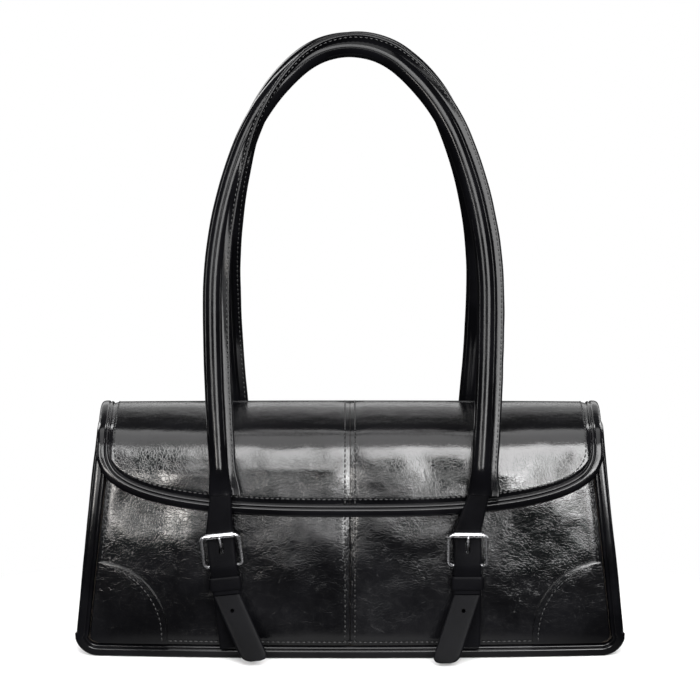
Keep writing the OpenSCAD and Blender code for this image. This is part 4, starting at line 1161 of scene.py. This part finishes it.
    def tail(self, side, hand):
        """Loose end below the keeper, flared forward and to the middle, with one spare hole."""
        c, s = math.cos(math.radians(-TAIL_FLARE)), math.sin(math.radians(-TAIL_FLARE))
        shift = -side * TAIL_SHIFT
        rings = []
        for t in np.linspace(0, 1, 60):
            z = -0.5 - (TAIL_L - 0.5) * t
            short = max(0, TAIL_TIP_R - (TAIL_L + z))
            cut = TAIL_TIP_R - math.sqrt(max(0, TAIL_TIP_R ** 2 - short ** 2))
            x = shift * min(1.0, t * 1.02)
            ring = []
            for u, v in flat_section(max(STRAP_W - 2 * cut, 3.0), TONGUE_T):
                y = v - TAIL_CURL * t * t
                ring.append(on_strap(side, (x + u, TONGUE_Y + y * c - z * s, TAIL_Z + y * s + z * c)))
            rings.append(ring)
        obj = add_piece(f"loose_tail_{hand}", loft(rings), "strap", f"tail_{hand}", f"strap_tail_{hand}")
        cut_hole(obj, on_strap(side, (shift * 0.18, TONGUE_Y - 2.2, TAIL_Z - 9)), HOLE_R)

    def rear(self, side, hand):
        """Tab sewn to the back wall, and the flat end of the rear handle that joins it."""
        x0 = side * REAR_FOOT
        r = STRAP_W / 2
        tab_low = TAB_TOP - TAB_H

        def back_y(z):
            return wall_y(REAR_FOOT, z) + GAP + TONGUE_T / 2 + 0.1

        rings = []
        for z in np.linspace(tab_low, TAB_TOP, 50):
            short = max(0, r - (z - tab_low))
            half = math.sqrt(max(0.4, r * r - short ** 2))
            rings.append([(x0 + u, back_y(z) + v, z) for u, v in flat_section(2 * half, TONGUE_T)])
        add_piece(f"sewn_rear_tab_{hand}", loft(rings), "strap", "bag", f"rear_tab_{hand}")
        leg = np.linspace(TAB_TOP - 3, tab_low + 9, 20)
        row = [(-1, z) for z in leg]
        row += [(-math.cos(a), tab_low + 8.5 - TAB_ROW * math.sin(a)) for a in np.linspace(0.15, math.pi - 0.15, 16)]
        row += [(1, z) for z in leg[::-1]]
        STITCHES["bag"].append([(x0 + TAB_ROW * c, back_y(z) + TONGUE_T / 2 + 0.1, z) for c, z in row])
        y0 = back_y(TAB_TOP)
        line = [(y0, TAB_TOP + 0.3), (y0 + 0.6, TAB_TOP + 3), (REAR_START_Y - 0.4, 115),
                (REAR_START_Y, REAR_START + 2)]
        rings = ribbon(line, [(0, STRAP_W - 3), (1, STRAP_W - 3)], TONGUE_T, 40, [(0, x0), (1, x0)])
        add_piece(f"rear_handle_end_{hand}", loft(rings), "strap", "rear_handle", f"rear_end_{hand}")


class BAG_OT_stitching(bpy.types.Operator):
    """Sews the stitch rows that the other pieces have marked."""
    bl_idname = "bag.stitching"
    bl_label = "Stitching"

    def execute(self, context):
        for body, rows in STITCHES.items():
            sew(body, f"{body}_stitches", [r for r in rows if len(r) > 1], context.scene.bag_looks)
        return {"FINISHED"}


# Studio

# Name, place, aim, size and watts of each lamp, in metres
LAMPS = (
    ("left_softbox", (-1.15, -2.0, 1.12), (0, 0, 0.12), (0.8, 1.6), 50),
    ("right_softbox", (0.85, -2.15, 1.16), (0, 0, 0.12), (1.1, 1.6), 84),
    ("centre_softbox", (-0.1, -2.5, 1.5), (0, 0, 0.12), (0.8, 1.3), 38),
    ("low_box", (0.05, -2.3, 0.30), (0, 0, 0.1), (2.4, 0.22), 8),
    ("left_low_box", (-0.80, -2.2, 0.27), (0, 0, 0.1), (0.36, 0.20), 6),
    ("right_low_box", (0.75, -2.2, 0.28), (0, 0, 0.1), (0.5, 0.24), 8),
    ("left_edge_strip", (-2.0, 0.1, 0.7), (0, 0, 0.18), (0.2, 1.4), 9),
    ("right_edge_strip", (2.0, 0.1, 0.7), (0, 0, 0.18), (0.2, 1.4), 9),
    ("top_softbox", (0, -0.55, 2.0), (0, -0.55, 0.1), (1.7, 2.8), 36),
    ("back_glow", (0, 1.8, 0.65), (0, 0, 0.13), (2.4, 0.6), 2.2),
    ("back_low_box", (0, 1.72, 0.30), (0, 0, 0.13), (2.2, 0.26), 1.3),
    ("back_left_softbox", (-1.3, 1.7, 1.3), (0, 0, 0.1), (0.7, 1.1), 16),
    ("back_right_softbox", (1.3, 1.7, 1.2), (0, 0, 0.1), (0.7, 1.1), 12),
)
# The photo's left low highlight is a little warm
TINTS = {"left_low_box": (1.0, 0.95, 0.9)}
CAMERA_PLACE, CAMERA_AIM = (0, -1.6, 0.45), (0, 0, 0.18)
FLOOR_REACH = 4.0


def aim(obj, place, at):
    obj.location = place
    obj.rotation_euler = (Vector(at) - Vector(place)).to_track_quat("-Z", "Y").to_euler()


class BAG_OT_stage(bpy.types.Operator):
    """Sets up the pale floor, the studio light and the camera."""
    bl_idname = "bag.stage"
    bl_label = "Studio"

    def execute(self, context):
        far = FLOOR_REACH
        mesh = bpy.data.meshes.new("floor")
        mesh.from_pydata([(-far, -far, 0), (far, -far, 0), (far, far, 0), (-far, far, 0)], [], [(0, 1, 2, 3)])
        mesh.materials.append(self.paper(context.scene.bag_looks))
        floor = bpy.data.objects.new("floor", mesh)
        context.scene.collection.objects.link(floor)
        self.world(context.scene)
        for name, place, at, size, watts in LAMPS:
            data = bpy.data.lights.new(name, "AREA")
            data.shape = "RECTANGLE"
            data.size, data.size_y = size
            data.energy = watts
            data.color = TINTS.get(name, (1, 1, 1))
            obj = bpy.data.objects.new(name, data)
            context.scene.collection.objects.link(obj)
            obj.visible_camera = False
            aim(obj, place, at)
        cam = bpy.data.cameras.new("photo_view")
        cam.sensor_width = 36
        cam.lens = 140.3
        cam.shift_y = -6 / 700
        cam.clip_end = 50
        obj = bpy.data.objects.new("photo_view", cam)
        context.scene.collection.objects.link(obj)
        aim(obj, CAMERA_PLACE, CAMERA_AIM)
        context.scene.camera = obj
        context.scene.view_settings.view_transform = "Standard"
        return {"FINISHED"}

    def paper(self, looks):
        """Matt pale paper that shows the bag's shadow, and is plain white to the camera away from the bag."""
        made = bpy.data.materials.new("pale_paper")
        made.use_nodes = True
        tree = made.node_tree
        bsdf = next(n for n in tree.nodes if n.type == "BSDF_PRINCIPLED")
        bsdf.inputs["Roughness"].default_value = 0.9
        bsdf.inputs["Specular IOR Level"].default_value = 0.0
        path = add_node(tree, "ShaderNodeLightPath")
        place = add_node(tree, "ShaderNodeTexCoord")
        away = add_node(tree, "ShaderNodeVectorMath", {0: place.outputs["Object"], 1: (1.0, 1.6, 1.0)},
                        operation="MULTIPLY")
        span = add_node(tree, "ShaderNodeVectorMath", {0: away.outputs[0]}, operation="LENGTH")
        # light that bounces off the paper would wash out the black leather, so it is dark to all but the camera;
        # only a ring close round the bag is kept lighter, a painted pool of light that the leather's lower edge
        # reflects as a pale band
        close = add_node(tree, "ShaderNodeMapRange", {"Value": span.outputs["Value"], "From Min": 0.12,
                                                      "From Max": 0.2, "To Min": 0.3, "To Max": 0.012})
        base = add_node(tree, "ShaderNodeMix", {0: path.outputs["Is Camera Ray"], 6: close.outputs[0],
                                                7: (*looks.paper, 1)}, data_type="RGBA")
        tree.links.new(base.outputs[2], bsdf.inputs["Base Color"])
        fade = add_node(tree, "ShaderNodeMapRange", {"Value": span.outputs["Value"], "From Min": 0.17,
                                                     "From Max": 0.33}, interpolation_type="SMOOTHSTEP")
        seen = add_node(tree, "ShaderNodeMath", {0: fade.outputs[0], 1: path.outputs["Is Camera Ray"]},
                        operation="MULTIPLY")
        white = add_node(tree, "ShaderNodeEmission", {"Color": grey(1.0), "Strength": 1.0})
        both = add_node(tree, "ShaderNodeMixShader", {0: seen.outputs[0], 1: bsdf.outputs[0], 2: white.outputs[0]})
        out = next(n for n in tree.nodes if n.type == "OUTPUT_MATERIAL")
        tree.links.new(both.outputs[0], out.inputs["Surface"])
        return made

    def world(self, scene):
        """White to the camera, and almost dark to everything else."""
        scene.world = bpy.data.worlds.new("studio")
        scene.world.use_nodes = True
        tree = scene.world.node_tree
        back = next(n for n in tree.nodes if n.type == "BACKGROUND")
        path = add_node(tree, "ShaderNodeLightPath")
        shade = add_node(tree, "ShaderNodeMix", {0: path.outputs["Is Camera Ray"], 6: grey(0.05), 7: grey(1.0)},
                         data_type="RGBA")
        tree.links.new(shade.outputs[2], back.inputs["Color"])
        back.inputs["Strength"].default_value = 1.0


class BagLooks(bpy.types.PropertyGroup):
    stitch_pitch: FloatProperty(name="Stitch pitch", description="Distance from one stitch to the next",
                                default=0.003, min=0.0015, max=0.006, unit="LENGTH")
    stitch_length: FloatProperty(name="Stitch length", description="Length of thread that shows in each stitch",
                                 default=0.0023, min=0.001, max=0.005, unit="LENGTH")
    thread_radius: FloatProperty(name="Thread radius", description="Half the thickness of the thread",
                                 default=0.00042, min=0.0001, max=0.001, unit="LENGTH")
    paper: FloatVectorProperty(name="Floor", description="Colour of the pale floor", subtype="COLOR", size=3,
                               default=(0.9, 0.9, 0.9), min=0, max=1)


class BAG_PT_panel(bpy.types.Panel):
    """Lists the bag's looks and the steps that build it"""
    bl_idname = "BAG_PT_panel"
    bl_label = "Baguette bag"
    bl_space_type = "VIEW_3D"
    bl_region_type = "UI"
    bl_category = "Bag"

    def draw(self, context):
        for name in BagLooks.__annotations__:
            self.layout.prop(context.scene.bag_looks, name)
        for step in STEPS:
            self.layout.operator(step.bl_idname)


STEPS = (BAG_OT_stage, BAG_OT_body, BAG_OT_flap, BAG_OT_handles, BAG_OT_straps, BAG_OT_stitching)
CLASSES = (BagLooks, *STEPS, BAG_PT_panel)


def register():
    for c in CLASSES:
        bpy.utils.register_class(c)
    bpy.types.Scene.bag_looks = PointerProperty(type=BagLooks)


def unregister():
    del bpy.types.Scene.bag_looks
    for c in reversed(CLASSES):
        bpy.utils.unregister_class(c)


def main():
    register()
    bpy.ops.bag.stage()
    bpy.ops.bag.body()
    bpy.ops.bag.flap()
    bpy.ops.bag.handles()
    bpy.ops.bag.straps()
    bpy.ops.bag.stitching()


if __name__ == "__main__":
    main()
